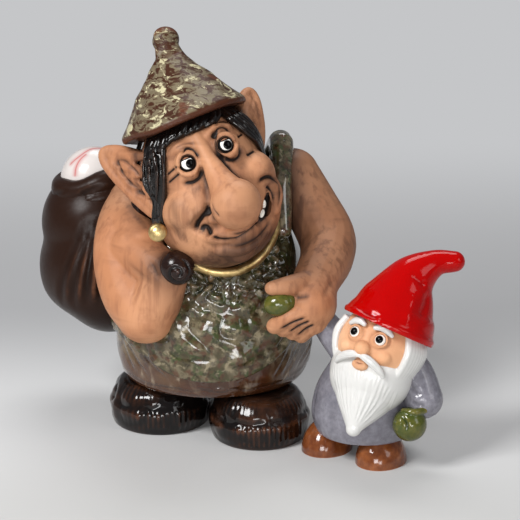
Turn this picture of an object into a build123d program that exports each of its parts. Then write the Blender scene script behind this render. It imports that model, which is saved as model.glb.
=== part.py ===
from build123d import *
import math
import os

# A glazed stoneware troll that carries a sack and leads a small gnome by the hand.
# It is built as a potter builds it: hollow castings and hand-rolled pieces, each made on its own
# and luted to its neighbours with slip, so every piece is cut to the pieces that it is pressed on.
# Millimetres. X runs to the viewer's right, Y to the back and Z up from the table. The troll's body
# axis stands at X = Y = 0 until the finished group is centred on its own footprint.

# Clay
clay_wall = 6.0  # wall of every hollow casting

# Troll's trousers, a hollow ring with an upright collar that carries the tunic
hem_height = 27.0
hem_radius = 54.0
trouser_bulge_radius = 58.0
trouser_top_radius = 57.0
trouser_top_height = 57.0
collar_radius = 51.0
collar_top = 62.0

# Troll's tunic, a hollow pear closed at the top
tunic_hem_height = 38.0
tunic_hem_radius = 59.2
side_hem_height = 54.7
side_hem_start = -38.0  # how far forward the hem starts to dip towards the front
front_hem_start = -59.0  # how far forward it is down again
belly_radius = 60.0
belly_height = 54.0
chest_radius = 52.0
chest_height = 97.0
yoke_radius = 41.3  # where the head is seated
yoke_height = 127.5
shoulder_radius = 37.4
shoulder_height = 140.0
tunic_top = 168.0
hem_flare = (0.1, 1.0)  # the way the skin leaves the hem, outwards and up

# Troll's boots
boot_length = 66.0
boot_half_width = 28.0
boot_bulge_height = 11.0
boot_sole_share = 0.95  # of the half width, at the table
boot_top_share = 0.84  # of the half width, under the trouser hem
right_boot_middle = (-32.5, -7.0)
left_boot_middle = (27.0, -32.0)

# Troll's head, in its own leaning frame
head_centre = (1.0, -40.0, 143.0)
head_pitch_angle = -15.0
head_roll_angle = -23.0
head_yaw_angle = 9.0
jaw_radius = 36.0
jaw_drop = 5.0
cranium_radius = 34.0
cranium_rise = 18.0

# Troll's nose and eyes
nose_root_height = 26.0
nose_root_radius = 5.0
nose_root_sunk = 2.5
nose_tip_height = -10.3
nose_tip_side = 3.4  # towards the open side of the smile
nose_tip_radius = 14.2
nose_tip_reach = 7.0  # from the face to the middle of the tip
eye_radius = 5.4
eye_sunk = 0.9
eye_spacing = 23.6
eye_height = 22.5
tooth_radii = (2.6, 2.2, 4.2)
tooth_spacing = 5.0
teeth_place = (20.5, -18.5)

# Troll's ears and jewellery
ear_thickness = 6.0
ear_reach = 11.0  # from the side of the jaw to the tip, sideways
ear_sweep = 14.0  # from the middle of the head to the tip, backwards
ear_height = 46.0
right_lobe_height = -3.0
left_lobe_height = 10.0
ear_root_height = 37.0
ear_root_forward = 2.0
ear_lobe_forward = 6.0
ear_corner_radius = 1.5
ear_bulge = 7.0  # how far the back edge swells between the lobe and the tip
ear_dish_depth = 2.6
ear_rim = 6.0
earring_radius = 5.2
earring_clearance = 0.2
earring_bearing = (-35.0, -15.0, -12.0)  # a point towards which it hangs off the jaw
neck_ring_thickness = 5.2
neck_ring_line = (  # from the knot of the sling, under the chin, to the left cheek
    (-9.8, -50.3, 103.8),
    (1.4, -52.5, 99.8),
    (14.7, -50.6, 99.5),
    (26.4, -43.5, 105.0),
    (34.0, -32.9, 114.6),
    (36.6, -22.8, 126.5),
)

# Troll's hair and hat, in the head's frame
hair_thickness = 4.5
hairline_setback = 5.0  # from the head's middle back to where the hair of the back starts
fringe_radius = 5.5
fringe_drop = 4.0  # from the underside of the brim to the middle of the fringe
lock_radius = 5.2
lock_end_radius = 3.6
lock_root_height = 30.0
lock_root_inset = 5.0
lock_end_inset = 4.0
right_lock_end = -2.0
left_lock_end = 6.0
lock_setback = 15.0  # from the head's middle forward to the side locks
brim_height = 45.0
brim_radius = 37.5
brim_thickness = 3.0
crown_radius = 22.0
crown_height = 65.0
upper_crown_radius = 13.0
upper_crown_height = 75.5
hat_flop = 1.3  # how late on its way up the cone leans over, 1 being straight
tip_neck_radius = 6.6
tip_neck_height = 86.0
hat_knob_radius = 7.6
hat_knob_rise = 4.5  # from the end of the cone up to the middle of the knob
hat_knob_place = (10.0, 6.0, tip_neck_height + hat_knob_rise)

# Troll's arms
right_shoulder = (-48.0, -4.0, 126.0)
right_bicep = (-51.0, -28.0, 103.0)
right_elbow = (-36.0, -48.0, 76.0)
right_fist = (-25.0, -56.0, 101.0)
right_shoulder_radius = 15.5
right_bicep_radius = 16.5
right_elbow_radius = 17.0
right_fist_radius = 12.0
right_crook = (-44.0, -36.0, 111.0)  # where the forearm is folded against the upper arm
right_crook_radius = 13.0
left_shoulder = (46.0, 3.0, 144.5)
left_elbow = (65.0, -16.0, 112.0)
left_wrist = (58.0, -47.0, 94.0)
left_shoulder_radius = 15.2
left_elbow_radius = 16.7
left_wrist_radius = 13.3

# Troll's left hand, closed round the gnome's mitten
palm = (55.5, -58.0, 85.0)
palm_radius = 14.5
thumb_tip = (33.5, -67.0, 97.0)
thumb_radius = 4.6
thumb_root_radius = 8.5
finger_radius = 4.6
finger_root_radius = 6.0
finger_count = 4
first_knuckle = (52.0, -66.0, 83.0)
last_knuckle = (59.0, -62.0, 76.0)
first_fingertip = (35.0, -65.0, 74.5)
last_fingertip = (50.0, -61.0, 68.0)

# Shoulder strap of the tunic
strap_radius = 7.2
strap_front = (38.0, -17.0, 136.0)
strap_top = (39.0, 4.0, 163.5)
strap_back = (30.0, 30.0, 138.0)

# Sack slung on the back, its rolled mouth and the bundle that fills it
sack_bottom = (-63.0, 27.0, 84.0)
sack_bottom_radius = 40.5
sack_mouth_height = 129.0
sack_neck_drop = 19.0  # from the mouth down to the middle of the neck's round
sack_neck = (-68.0, 27.0, sack_mouth_height - sack_neck_drop)
sack_neck_radius = 31.0
sack_mouth_centre = (-70.0, 27.0)
sack_roll_radius = 18.0
sack_roll_thickness = 12.0
bundle_radii = (20.0, 18.0, 20.0)
sling_radius = 7.0
sling_knot = (-17.5, -62.0, 107.5)
sling_knot_radius = 10.0
sling_shoulder = (-36.0, -10.0, 146.0)

# Gnome's coat and boots
gnome_axis = (86.0, -64.0)
coat_hem_height = 13.0
coat_hem_radius = 27.0
coat_bulge_radius = 30.0
coat_bulge_height = 28.0
coat_neck_radius = 15.0
coat_neck_height = 62.0
gnome_boot_radii = (14.0, 17.0, 18.0)
gnome_right_boot = (65.0, -58.0)
gnome_left_boot = (94.5, -78.0)
gnome_turn_angle = -25.0

# Gnome's head, beard and hat
gnome_head_centre = (92.5, -78.0, 67.0)
gnome_head_radius = 23.0
gnome_head_pitch_angle = -14.0
gnome_head_roll_angle = 17.0
gnome_hairline_setback = 8.0
gnome_nose_radius = 4.6
gnome_eye_radius = 3.3
gnome_eye_sunk = 1.1
gnome_eye_spacing = 15.0
gnome_eye_height = 4.5
gnome_nose_height = -3.0
brow_radius = 2.0
brow_end_radius = 1.6
brow_length = 8.0
moustache_radius = 3.0
moustache_end_radius = 2.1
moustache_span = 14.0
moustache_height = -8.0
moustache_droop = 4.0
moustache_proud = 4.0
beard_height = -15.0
beard_tip = (78.0, -100.0, 27.0)
beard_tip_radius = 5.0
beard_width_radius = 23.5
beard_inset = 18.5  # from the face back to the middle of the beard's round
gnome_brim_centre = (97.0, -79.0, 77.5)
gnome_brim_radius = 28.5
gnome_hat_stations = (
    ((103.5, -75.0, 92.0), 21.5),
    ((111.5, -72.5, 105.0), 13.5),
    ((123.0, -71.0, 112.5), 7.4),
)
gnome_hat_tip = (133.5, -71.0, 113.5)
gnome_hat_tip_radius = 5.8
gnome_hat_end_radius = 5.0  # of the drawn skin inside the rounded tip

# Gnome's arms and mittens
gnome_left_shoulder = (110.0, -77.0, 58.0)
gnome_left_cuff = (117.0, -84.0, 38.0)
gnome_left_mitten = (109.0, -93.0, 27.0)
gnome_shoulder_radius = 9.0
gnome_cuff_radius = 11.0
gnome_mitten_radii = (9.5, 9.0, 9.5)
gnome_right_shoulder = (73.0, -70.0, 62.0)
held_cuff = (55.0, -64.0, 80.0)
held_cuff_radius = 7.5
held_mitten = (36.0, -66.0, 87.5)
held_mitten_radius = 6.8

pieces = []


def finish_piece(builder, label):
    """Names a finished piece and keeps it for the export."""
    builder.part.label = label
    pieces.append(builder.part)


def carve(*carriers):
    """Cuts the piece in hand to the pieces that it is pressed on."""
    for carrier in carriers:
        add(carrier.part, clean=False, mode=Mode.SUBTRACT)


def ball(seat, radii):
    """A clay ball pressed out of round, standing in the frame of its seat."""
    with BuildPart() as lump:
        Sphere(1)
        scale(by=radii)
    return lump.part.moved(seat)


def limb(start, end, start_radius, end_radius):
    """A rolled limb: two balls and the tapering skin that touches both."""
    start, end = Vector(start), Vector(end)
    along = end - start
    side = along.cross(Vector(0, 0, 1)) if abs(along.normalized().Z) < 0.9 else along.cross(Vector(1, 0, 0))
    touch = 90 - math.degrees(math.asin((start_radius - end_radius) / along.length))
    turned, raised = math.cos(math.radians(touch)), math.sin(math.radians(touch))
    with BuildPart() as roll:
        with BuildSketch(Plane(origin=start, x_dir=along, z_dir=side)):
            with BuildLine():
                CenterArc((0, 0), start_radius, touch, 180 - touch)
                Line(
                    (start_radius * turned, start_radius * raised),
                    (along.length + end_radius * turned, end_radius * raised),
                )
                CenterArc((along.length, 0), end_radius, 0, touch)
                Line((along.length + end_radius, 0), (-start_radius, 0))
            make_face()
        revolve(axis=Axis(start, along))
    return roll.part


def tube_loft(stations):
    """A skin drawn over round sections whose planes follow the line of their middles."""
    middles = [Vector(*middle) for middle, _ in stations]
    with BuildPart() as skin:
        for index, (_, radius) in enumerate(stations):
            ahead = middles[min(index + 1, len(middles) - 1)]
            behind = middles[max(index - 1, 0)]
            with BuildSketch(Plane(origin=middles[index], x_dir=(1, 0, 0), z_dir=ahead - behind)):
                Circle(radius)
        loft()
    return skin.part


# Outer form of the troll's body, which the limbs, the head and the sack are cut to
with BuildPart() as body_form:
    with BuildSketch(Plane.XZ):
        with BuildLine():
            Polyline((0, tunic_top), (0, hem_height), (hem_radius, hem_height))
            side = ThreePointArc(
                (hem_radius, hem_height),
                (trouser_bulge_radius, (hem_height + tunic_hem_height) / 2),
                (trouser_top_radius, tunic_hem_height),
            )
            ledge = Line(side @ 1, (tunic_hem_radius, tunic_hem_height))
            Spline(
                ledge @ 1,
                (belly_radius, belly_height),
                (chest_radius, chest_height),
                (yoke_radius, yoke_height),
                (shoulder_radius, shoulder_height),
                (0, tunic_top),
                tangents=[hem_flare, (-1, 0)],
            )
        make_face()
    revolve(axis=Axis.Z)

# Troll's trousers: hem, bulge, step for the tunic and upright collar
with BuildPart() as trousers:
    with BuildSketch(Plane.XZ):
        with BuildLine():
            hem = Line((hem_radius - clay_wall, hem_height), (hem_radius, hem_height))
            bulge = ThreePointArc(
                hem @ 1,
                (trouser_bulge_radius, (hem_height + tunic_hem_height) / 2),
                (trouser_top_radius, tunic_hem_height),
            )
            Polyline(
                bulge @ 1,
                (trouser_top_radius, trouser_top_height),
                (collar_radius, trouser_top_height),
                (collar_radius, collar_top),
                (collar_radius - clay_wall, collar_top),
                hem @ 0,
            )
        make_face()
    revolve(axis=Axis.Z)
finish_piece(trousers, "trousers")

# Room under the tunic's hem, which hangs low in front and is drawn up at the sides and the back
with BuildPart() as under_hem:
    with BuildSketch(Plane.YZ):
        Polygon(
            (front_hem_start, hem_height),
            (front_hem_start, tunic_hem_height),
            (side_hem_start, side_hem_height),
            (2 * belly_radius, side_hem_height),
            (2 * belly_radius, hem_height),
            align=None,
        )
    extrude(amount=2 * belly_radius, both=True)

# Troll's tunic: seated on the step and on the collar, hollow above it
with BuildPart() as tunic:
    with BuildSketch(Plane.XZ):
        with BuildLine():
            outside = Spline(
                (tunic_hem_radius, tunic_hem_height),
                (belly_radius, belly_height),
                (chest_radius, chest_height),
                (yoke_radius, yoke_height),
                (shoulder_radius, shoulder_height),
                (0, tunic_top),
                tangents=[hem_flare, (-1, 0)],
            )
            inside = Spline(
                (collar_radius - clay_wall, collar_top),
                (chest_radius - clay_wall, chest_height),
                (yoke_radius - clay_wall, yoke_height),
                (shoulder_radius - clay_wall, shoulder_height),
                (0, tunic_top - clay_wall),
                tangents=[(0, 1), (-1, 0)],
            )
            Line(outside @ 1, inside @ 1)
            Polyline(
                outside @ 0,
                (trouser_top_radius, tunic_hem_height),
                (trouser_top_radius, trouser_top_height),
                (collar_radius, trouser_top_height),
                (collar_radius, collar_top),
                inside @ 0,
            )
        make_face()
    revolve(axis=Axis.Z)
    carve(under_hem)
finish_piece(tunic, "tunic")


def boot(middle):
    """A thick round boot, flat on the table and flat under the trouser hem."""
    sections = ((0, boot_sole_share), (boot_bulge_height, 1), (hem_height, boot_top_share))
    with BuildPart() as shoe:
        for height, share in sections:
            with BuildSketch(Plane((*middle, height))):
                Ellipse(boot_half_width * share, boot_length / 2 * share)
        loft()
    return shoe


right_boot = boot(right_boot_middle)
finish_piece(right_boot, "right_boot")
left_boot = boot(left_boot_middle)
finish_piece(left_boot, "left_boot")

# Frame of the troll's head: x to the viewer's right, y to the back, z up through the hat
head_seat = Location(head_centre, (head_pitch_angle, head_roll_angle, head_yaw_angle))


def in_head(x, y, z):
    """A point of the head's frame, in the figure's frame."""
    return Vector(*(head_seat * Pos(x, y, z)).position)


def face_depth(x, z):
    """How far forward the bare face stands at a place seen from the front."""
    jaw = jaw_radius**2 - x**2 - (z + jaw_drop) ** 2
    cranium = cranium_radius**2 - x**2 - (z - cranium_rise) ** 2
    return math.sqrt(max(jaw, cranium, 0))


def on_face(x, z, proud=0.0):
    """A point on the face, standing proud of it by a given depth."""
    return in_head(x, -face_depth(x, z) - proud, z)


# Troll's eyes, set in sockets of their own size
eyes = {}
for side, name in ((-1, "right_eye"), (1, "left_eye")):
    place = on_face(side * eye_spacing / 2, eye_height, -eye_sunk)
    with BuildPart() as eyeball:
        with Locations(place):
            Sphere(eye_radius)
    eyes[name] = eyeball

# Troll's head: jaw and cranium, hollow, pressed on the tunic
with BuildPart() as head_form:
    with Locations(in_head(0, 0, -jaw_drop)):
        Sphere(jaw_radius)
    with Locations(in_head(0, 0, cranium_rise)):
        Sphere(cranium_radius)

with BuildPart() as head:
    add(head_form.part)
    with Locations(in_head(0, 0, -jaw_drop)):
        Sphere(jaw_radius - clay_wall, mode=Mode.SUBTRACT)
    with Locations(in_head(0, 0, cranium_rise)):
        Sphere(cranium_radius - clay_wall, mode=Mode.SUBTRACT)
    carve(body_form, *eyes.values())
finish_piece(head, "head")
for name, eyeball in eyes.items():
    finish_piece(eyeball, name)

# Troll's nose, from between the eyes to the hanging tip
with BuildPart() as nose:
    nose_tip = on_face(nose_tip_side, nose_tip_height, nose_tip_reach)
    add(limb(on_face(0, nose_root_height, -nose_root_sunk), nose_tip, nose_root_radius, nose_tip_radius))
    carve(head_form, *eyes.values())
finish_piece(nose, "nose")

# Troll's two teeth, at the open side of the smile
with BuildPart() as teeth:
    for index in (-0.5, 0.5):
        x = teeth_place[0] + index * tooth_spacing
        add(ball(Location(on_face(x, teeth_place[1] + index * tooth_spacing)), tooth_radii))
    carve(head_form, nose)
finish_piece(teeth, "teeth")

# Troll's hat: a drawn cone on a short rim, with a knob at the flopped tip
with BuildPart() as hat:
    sections = (
        (brim_height, brim_radius),
        (crown_height, crown_radius),
        (upper_crown_height, upper_crown_radius),
        (tip_neck_height, tip_neck_radius),
    )
    for height, radius in sections:
        drift = ((height - brim_height) / (hat_knob_place[2] - brim_height)) ** hat_flop
        middle = Pos(hat_knob_place[0] * drift, hat_knob_place[1] * drift, height)
        with BuildSketch(Plane(head_seat * middle)):
            Circle(radius)
    loft()
    with BuildSketch(Plane(head_seat * Pos(0, 0, brim_height))):
        Circle(brim_radius)
    extrude(amount=-brim_thickness)
    with Locations(in_head(*hat_knob_place)):
        Sphere(hat_knob_radius)
    carve(head_form)
finish_piece(hat, "hat")

# Troll's hair: a thick cap at the back and sides, a fringe and two side locks, all under the brim
under_brim = Plane(head_seat * Pos(0, 0, brim_height - brim_thickness))
hairline = Plane(head_seat * Pos(0, hairline_setback, 0) * Rot(90, 0, 0))

with BuildPart() as hair:
    with Locations(in_head(0, hair_thickness / 2, cranium_rise)):
        Sphere(cranium_radius + hair_thickness)
    split(bisect_by=under_brim, keep=Keep.BOTTOM)
    split(bisect_by=hairline, keep=Keep.BOTTOM)
    carve(head_form, body_form)
finish_piece(hair, "hair")

with BuildPart() as fringe:
    fringe_height = brim_height - brim_thickness - fringe_drop
    fringe_bend = math.sqrt(cranium_radius**2 - (fringe_height - cranium_rise) ** 2)
    with Locations(head_seat * Pos(0, 0, fringe_height)):
        Torus(fringe_bend, fringe_radius)
    split(bisect_by=under_brim, keep=Keep.BOTTOM)
    split(bisect_by=hairline, keep=Keep.TOP)
    carve(head_form)
finish_piece(fringe, "fringe")

locks = {}
for name, side, low in (("right_lock", -1, right_lock_end), ("left_lock", 1, left_lock_end)):
    with BuildPart() as lock:
        root = in_head(side * (cranium_radius - lock_root_inset), -lock_setback, lock_root_height)
        end = in_head(side * (jaw_radius - lock_end_inset), -lock_setback, low)
        add(limb(root, end, lock_radius, lock_end_radius))
        split(bisect_by=under_brim, keep=Keep.BOTTOM)
        carve(head_form, hair, fringe)
    finish_piece(lock, name)
    locks[name] = lock


def ear(side, lobe_height):
    """A pointed ear: a rounded leaf of clay with a dished front."""
    root = in_head(side * (cranium_radius - clay_wall), -ear_root_forward, ear_root_height)
    lobe = in_head(side * (jaw_radius - clay_wall / 2), -ear_lobe_forward, lobe_height)
    tip = in_head(side * (jaw_radius + ear_reach), ear_sweep, ear_height)
    leaf = Plane(origin=lobe, x_dir=root - lobe, z_dir=(root - lobe).cross(tip - lobe) * side)
    root, tip = leaf.to_local_coords(root), leaf.to_local_coords(tip)
    swell = tip / 2 + Vector(-tip.Y, tip.X).normalized() * ear_bulge * side
    front = leaf.offset(-ear_thickness / 2)
    with BuildPart() as plate:
        with BuildSketch(front) as outline:
            with BuildLine():
                back = ThreePointArc((0, 0), (swell.X, swell.Y), (tip.X, tip.Y))
                Polyline(back @ 1, (root.X, root.Y), back @ 0)
            make_face()
            fillet(outline.vertices(), ear_corner_radius)
        extrude(amount=ear_thickness)
        with BuildSketch(front):
            add(outline.sketch_local)
            offset(amount=-ear_rim, mode=Mode.REPLACE)
        extrude(amount=ear_dish_depth, mode=Mode.SUBTRACT)
        carve(head_form, hair, fringe, *locks.values())
    return plate


ears = {"right_ear": ear(-1, right_lobe_height), "left_ear": ear(1, left_lobe_height)}
for name, plate in ears.items():
    finish_piece(plate, name)

# Earring under the right lobe
with BuildPart() as earring:
    jaw_centre = in_head(0, 0, -jaw_drop)
    outward = (in_head(*earring_bearing) - jaw_centre).normalized()
    with Locations(jaw_centre + outward * (jaw_radius + earring_clearance + earring_radius)):
        Sphere(earring_radius)
    carve(ears["right_ear"], *locks.values())
finish_piece(earring, "earring")

# Troll's arms: rolled limbs pressed on the tunic
with BuildPart() as right_arm:
    add(limb(right_shoulder, right_bicep, right_shoulder_radius, right_bicep_radius))
    add(limb(right_bicep, right_elbow, right_bicep_radius, right_elbow_radius))
    add(limb(right_elbow, right_fist, right_elbow_radius, right_fist_radius))
    add(limb(right_crook, right_fist, right_crook_radius, right_fist_radius))
    carve(body_form, head_form, hair, earring, ears["right_ear"])
finish_piece(right_arm, "right_arm")

with BuildPart() as left_arm:
    add(limb(left_shoulder, left_elbow, left_shoulder_radius, left_elbow_radius))
    add(limb(left_elbow, left_wrist, left_elbow_radius, left_wrist_radius))
    carve(body_form, head_form, hair, ears["left_ear"])
finish_piece(left_arm, "left_arm")

# Strap of the tunic over the left shoulder
with BuildPart() as strap:
    add(limb(strap_front, strap_top, strap_radius, strap_radius))
    add(limb(strap_top, strap_back, strap_radius, strap_radius))
    carve(body_form, head_form, hair, left_arm, ears["left_ear"])
finish_piece(strap, "shoulder_strap")

# Gnome's mitten that the troll holds, and the hand closed round it
with BuildPart() as held:
    with Locations(held_mitten):
        Sphere(held_mitten_radius)
    carve(body_form)
finish_piece(held, "gnome_right_mitten")

with BuildPart() as left_hand:
    add(limb(left_wrist, palm, left_wrist_radius, palm_radius))
    add(limb(left_wrist, thumb_tip, thumb_root_radius, thumb_radius))
    for index in range(finger_count):
        fan = index / (finger_count - 1)
        knuckle = Vector(first_knuckle) * (1 - fan) + Vector(last_knuckle) * fan
        fingertip = Vector(first_fingertip) * (1 - fan) + Vector(last_fingertip) * fan
        add(limb(knuckle, fingertip, finger_root_radius, finger_radius))
    carve(body_form, left_arm, held)
finish_piece(left_hand, "left_hand")

# Sack, its rolled mouth, the bundle that fills the mouth and the sling over the shoulder
with BuildPart() as sack_form:
    add(limb(sack_bottom, sack_neck, sack_bottom_radius, sack_neck_radius))
    split(bisect_by=Plane.XY.offset(sack_mouth_height), keep=Keep.BOTTOM)

with BuildPart() as sack:
    add(sack_form.part)
    add(
        limb(sack_bottom, sack_neck, sack_bottom_radius - clay_wall, sack_neck_radius - clay_wall),
        mode=Mode.SUBTRACT,
    )
    carve(body_form, right_arm)
finish_piece(sack, "sack")

with BuildPart() as sack_roll:
    with Locations((*sack_mouth_centre, sack_mouth_height + sack_roll_thickness / 4)):
        Torus(sack_roll_radius, sack_roll_thickness / 2)
    carve(sack_form, body_form, right_arm)
finish_piece(sack_roll, "sack_roll")

with BuildPart() as bundle:
    add(ball(Location((*sack_mouth_centre, sack_mouth_height + sack_roll_thickness / 2)), bundle_radii))
    carve(sack, sack_roll, body_form, ears["right_ear"])
finish_piece(bundle, "bundle")

with BuildPart() as sling:
    add(limb((*sack_mouth_centre, sack_mouth_height), sling_shoulder, sling_radius, sling_radius))
    add(limb(sling_shoulder, sling_knot, sling_radius, sling_radius))
    with Locations(sling_knot):
        Sphere(sling_knot_radius)
    carve(sack_form, sack_roll, bundle, body_form, head_form, hair, right_arm, earring, ears["right_ear"])
finish_piece(sling, "sack_sling")

# Gold ring that lies on the chest under the chin
with BuildPart() as neck_ring:
    with BuildLine():
        hoop = Spline(*neck_ring_line)
    with BuildSketch(Plane(origin=hoop @ 0, z_dir=hoop % 0)):
        Circle(neck_ring_thickness / 2)
    sweep(path=hoop.edge())
    carve(body_form, head_form, hair, left_arm, strap, sling, right_arm)
finish_piece(neck_ring, "neck_ring")


def bell(wall):
    """The gnome's coat as a solid bell, drawn in from its skin by a wall."""
    with BuildPart() as lump:
        with BuildSketch(Plane(origin=(*gnome_axis, 0), x_dir=(1, 0, 0), z_dir=(0, -1, 0))):
            with BuildLine():
                skin = Spline(
                    (coat_hem_radius - wall, coat_hem_height),
                    (coat_bulge_radius - wall, coat_bulge_height),
                    (coat_neck_radius - wall, coat_neck_height - wall),
                )
                Polyline(skin @ 1, (0, coat_neck_height - wall), (0, coat_hem_height), skin @ 0)
            make_face()
        revolve(axis=Axis((*gnome_axis, 0), (0, 0, 1)))
    return lump


# Gnome's coat, hollow and open underneath
coat_form = bell(0)
with BuildPart() as coat:
    add(coat_form.part)
    add(bell(clay_wall).part, mode=Mode.SUBTRACT)
    carve(body_form, left_boot)
finish_piece(coat, "gnome_coat")


def gnome_boot(middle):
    """A round boot, flat on the table and cut to the hem of the coat."""
    with BuildPart() as shoe:
        add(ball(Location((*middle, 0), (0, 0, gnome_turn_angle)), gnome_boot_radii))
        split(bisect_by=Plane.XY, keep=Keep.TOP)
        carve(coat_form, left_boot)
    return shoe


gnome_right_shoe = gnome_boot(gnome_right_boot)
finish_piece(gnome_right_shoe, "gnome_right_boot")
gnome_left_shoe = gnome_boot(gnome_left_boot)
finish_piece(gnome_left_shoe, "gnome_left_boot")

# Frame of the gnome's head, turned up towards the troll
gnome_seat = Location(gnome_head_centre, (gnome_head_pitch_angle, gnome_head_roll_angle, gnome_turn_angle))


def on_gnome(x, z, proud=0.0):
    """A point on the gnome's face, standing proud of it by a given depth."""
    depth = math.sqrt(max(gnome_head_radius**2 - x**2 - z**2, 0)) + proud
    return Vector(*(gnome_seat * Pos(x, -depth, z)).position)


gnome_eyes = {}
for side, name in ((-1, "gnome_right_eye"), (1, "gnome_left_eye")):
    with BuildPart() as gnome_eye:
        with Locations(on_gnome(side * gnome_eye_spacing / 2, gnome_eye_height, -gnome_eye_sunk)):
            Sphere(gnome_eye_radius)
    gnome_eyes[name] = gnome_eye

with BuildPart() as gnome_form:
    with Locations(gnome_head_centre):
        Sphere(gnome_head_radius)

with BuildPart() as gnome_head:
    add(gnome_form.part)
    carve(coat_form, *gnome_eyes.values())
finish_piece(gnome_head, "gnome_head")
for name, gnome_eye in gnome_eyes.items():
    finish_piece(gnome_eye, name)

with BuildPart() as gnome_nose:
    with Locations(on_gnome(0, gnome_nose_height)):
        Sphere(gnome_nose_radius)
    carve(gnome_form, *gnome_eyes.values())
finish_piece(gnome_nose, "gnome_nose")

# Gnome's hat: a brim, a leaning cone and a tip that flops to the side
with BuildPart() as gnome_hat:
    brim, end = (gnome_brim_centre, gnome_brim_radius), (gnome_hat_tip, gnome_hat_end_radius)
    add(tube_loft([brim, *gnome_hat_stations, end]))
    with Locations(gnome_hat_tip):
        Sphere(gnome_hat_tip_radius)
    carve(gnome_form, *gnome_eyes.values())
finish_piece(gnome_hat, "gnome_hat")

# Gnome's hair: a cap round the back and sides of the head
with BuildPart() as gnome_hair:
    with Locations(gnome_head_centre):
        Sphere(gnome_head_radius + hair_thickness)
    split(bisect_by=Plane(gnome_seat * Pos(0, -gnome_hairline_setback, 0) * Rot(90, 0, 0)), keep=Keep.BOTTOM)
    carve(gnome_form, gnome_hat, coat_form)
finish_piece(gnome_hair, "gnome_hair")

# Gnome's beard: broad under the face, running down the coat to a point
with BuildPart() as beard:
    beard_root = on_gnome(0, beard_height, -beard_inset)
    add(limb(beard_root, beard_tip, beard_width_radius, beard_tip_radius))
    carve(gnome_form, gnome_hat, gnome_hair, gnome_nose, coat_form)
finish_piece(beard, "gnome_beard")

with BuildPart() as moustache:
    for side in (-1, 1):
        start = on_gnome(side * moustache_radius / 2, moustache_height, moustache_proud)
        end = on_gnome(side * moustache_span, moustache_height - moustache_droop, moustache_proud)
        add(limb(start, end, moustache_radius, moustache_end_radius))
    carve(gnome_form, gnome_nose, beard)
finish_piece(moustache, "gnome_moustache")

with BuildPart() as brows:
    for side in (-1, 1):
        middle = side * gnome_eye_spacing / 2
        brow_height = gnome_eye_height + gnome_eye_radius + brow_radius / 2
        start = on_gnome(middle - brow_length / 2, brow_height, brow_radius / 2)
        end = on_gnome(middle + brow_length / 2, brow_height, brow_radius / 2)
        add(limb(start, end, brow_radius, brow_end_radius))
    carve(gnome_form, gnome_hat, *gnome_eyes.values())
finish_piece(brows, "gnome_eyebrows")

# Gnome's arms: one hangs, one is pulled up into the troll's hand
with BuildPart() as gnome_left_sleeve:
    add(limb(gnome_left_shoulder, gnome_left_cuff, gnome_shoulder_radius, gnome_cuff_radius))
    carve(coat_form, gnome_form, gnome_hair, gnome_hat, beard)
finish_piece(gnome_left_sleeve, "gnome_left_arm")

with BuildPart() as gnome_mitten:
    add(ball(Location(gnome_left_mitten), gnome_mitten_radii))
    carve(coat_form, gnome_left_sleeve, beard, gnome_left_shoe)
finish_piece(gnome_mitten, "gnome_left_mitten")

with BuildPart() as gnome_right_sleeve:
    add(limb(gnome_right_shoulder, held_cuff, gnome_shoulder_radius, held_cuff_radius))
    carve(coat_form, gnome_form, gnome_hair, gnome_hat, beard, left_hand, held, body_form)
finish_piece(gnome_right_sleeve, "gnome_right_arm")

# The group stands on the middle of its own footprint
boxes = [piece.bounding_box() for piece in pieces]
centre_x = (min(box.min.X for box in boxes) + max(box.max.X for box in boxes)) / 2
centre_y = (min(box.min.Y for box in boxes) + max(box.max.Y for box in boxes)) / 2
os.makedirs("parts", exist_ok=True)
for piece in pieces:
    solids = piece.solids()
    print(piece.label, len(solids), [round(solid.volume) for solid in solids])
    export_step(piece.moved(Pos(-centre_x, -centre_y, 0)), f"parts/{piece.label}.step")
print("body axis stands at", round(-centre_x, 3), round(-centre_y, 3))
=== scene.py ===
import math
import bpy
import numpy as np
from mathutils import Euler, Matrix, Vector, noise
from mathutils.bvhtree import BVHTree


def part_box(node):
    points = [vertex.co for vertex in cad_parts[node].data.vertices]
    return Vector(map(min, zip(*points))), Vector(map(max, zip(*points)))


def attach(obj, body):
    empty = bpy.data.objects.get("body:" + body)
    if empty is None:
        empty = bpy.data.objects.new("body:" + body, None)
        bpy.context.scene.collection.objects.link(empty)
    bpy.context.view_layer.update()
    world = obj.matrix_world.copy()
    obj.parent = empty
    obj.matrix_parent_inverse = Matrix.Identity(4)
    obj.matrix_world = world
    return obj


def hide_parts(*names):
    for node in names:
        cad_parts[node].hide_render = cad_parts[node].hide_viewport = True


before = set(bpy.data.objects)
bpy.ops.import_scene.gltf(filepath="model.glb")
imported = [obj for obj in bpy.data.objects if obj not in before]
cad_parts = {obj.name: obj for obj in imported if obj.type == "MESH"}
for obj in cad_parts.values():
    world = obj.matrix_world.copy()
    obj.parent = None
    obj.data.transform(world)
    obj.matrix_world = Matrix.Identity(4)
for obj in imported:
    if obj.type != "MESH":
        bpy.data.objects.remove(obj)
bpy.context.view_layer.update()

# A stoneware troll with a sack on its back, leading a small gnome by the hand.
# Places and sizes are millimetres from the troll's body axis on the table, or from the middle of a head.
bodyLow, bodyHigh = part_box("tunic")
mm = 0.001
fullTurn = 2 * math.pi
ahead = (0, 1, 0)  # the way the camera looks
bodyAxis = ((bodyLow.x + bodyHigh.x) / 2, (bodyLow.y + bodyHigh.y) / 2, 0)
figure = Matrix.Translation(bodyAxis) @ Matrix.Scale(mm, 4)


def leaning(middle, *angles):
    # the seat of a head: its middle, then its turns about x, y and z in degrees
    seat = figure @ Matrix.Translation(middle)
    for angle, axis in zip(angles, "XYZ"):
        seat = seat @ Matrix.Rotation(math.radians(angle), 4, axis)
    return seat


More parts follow.
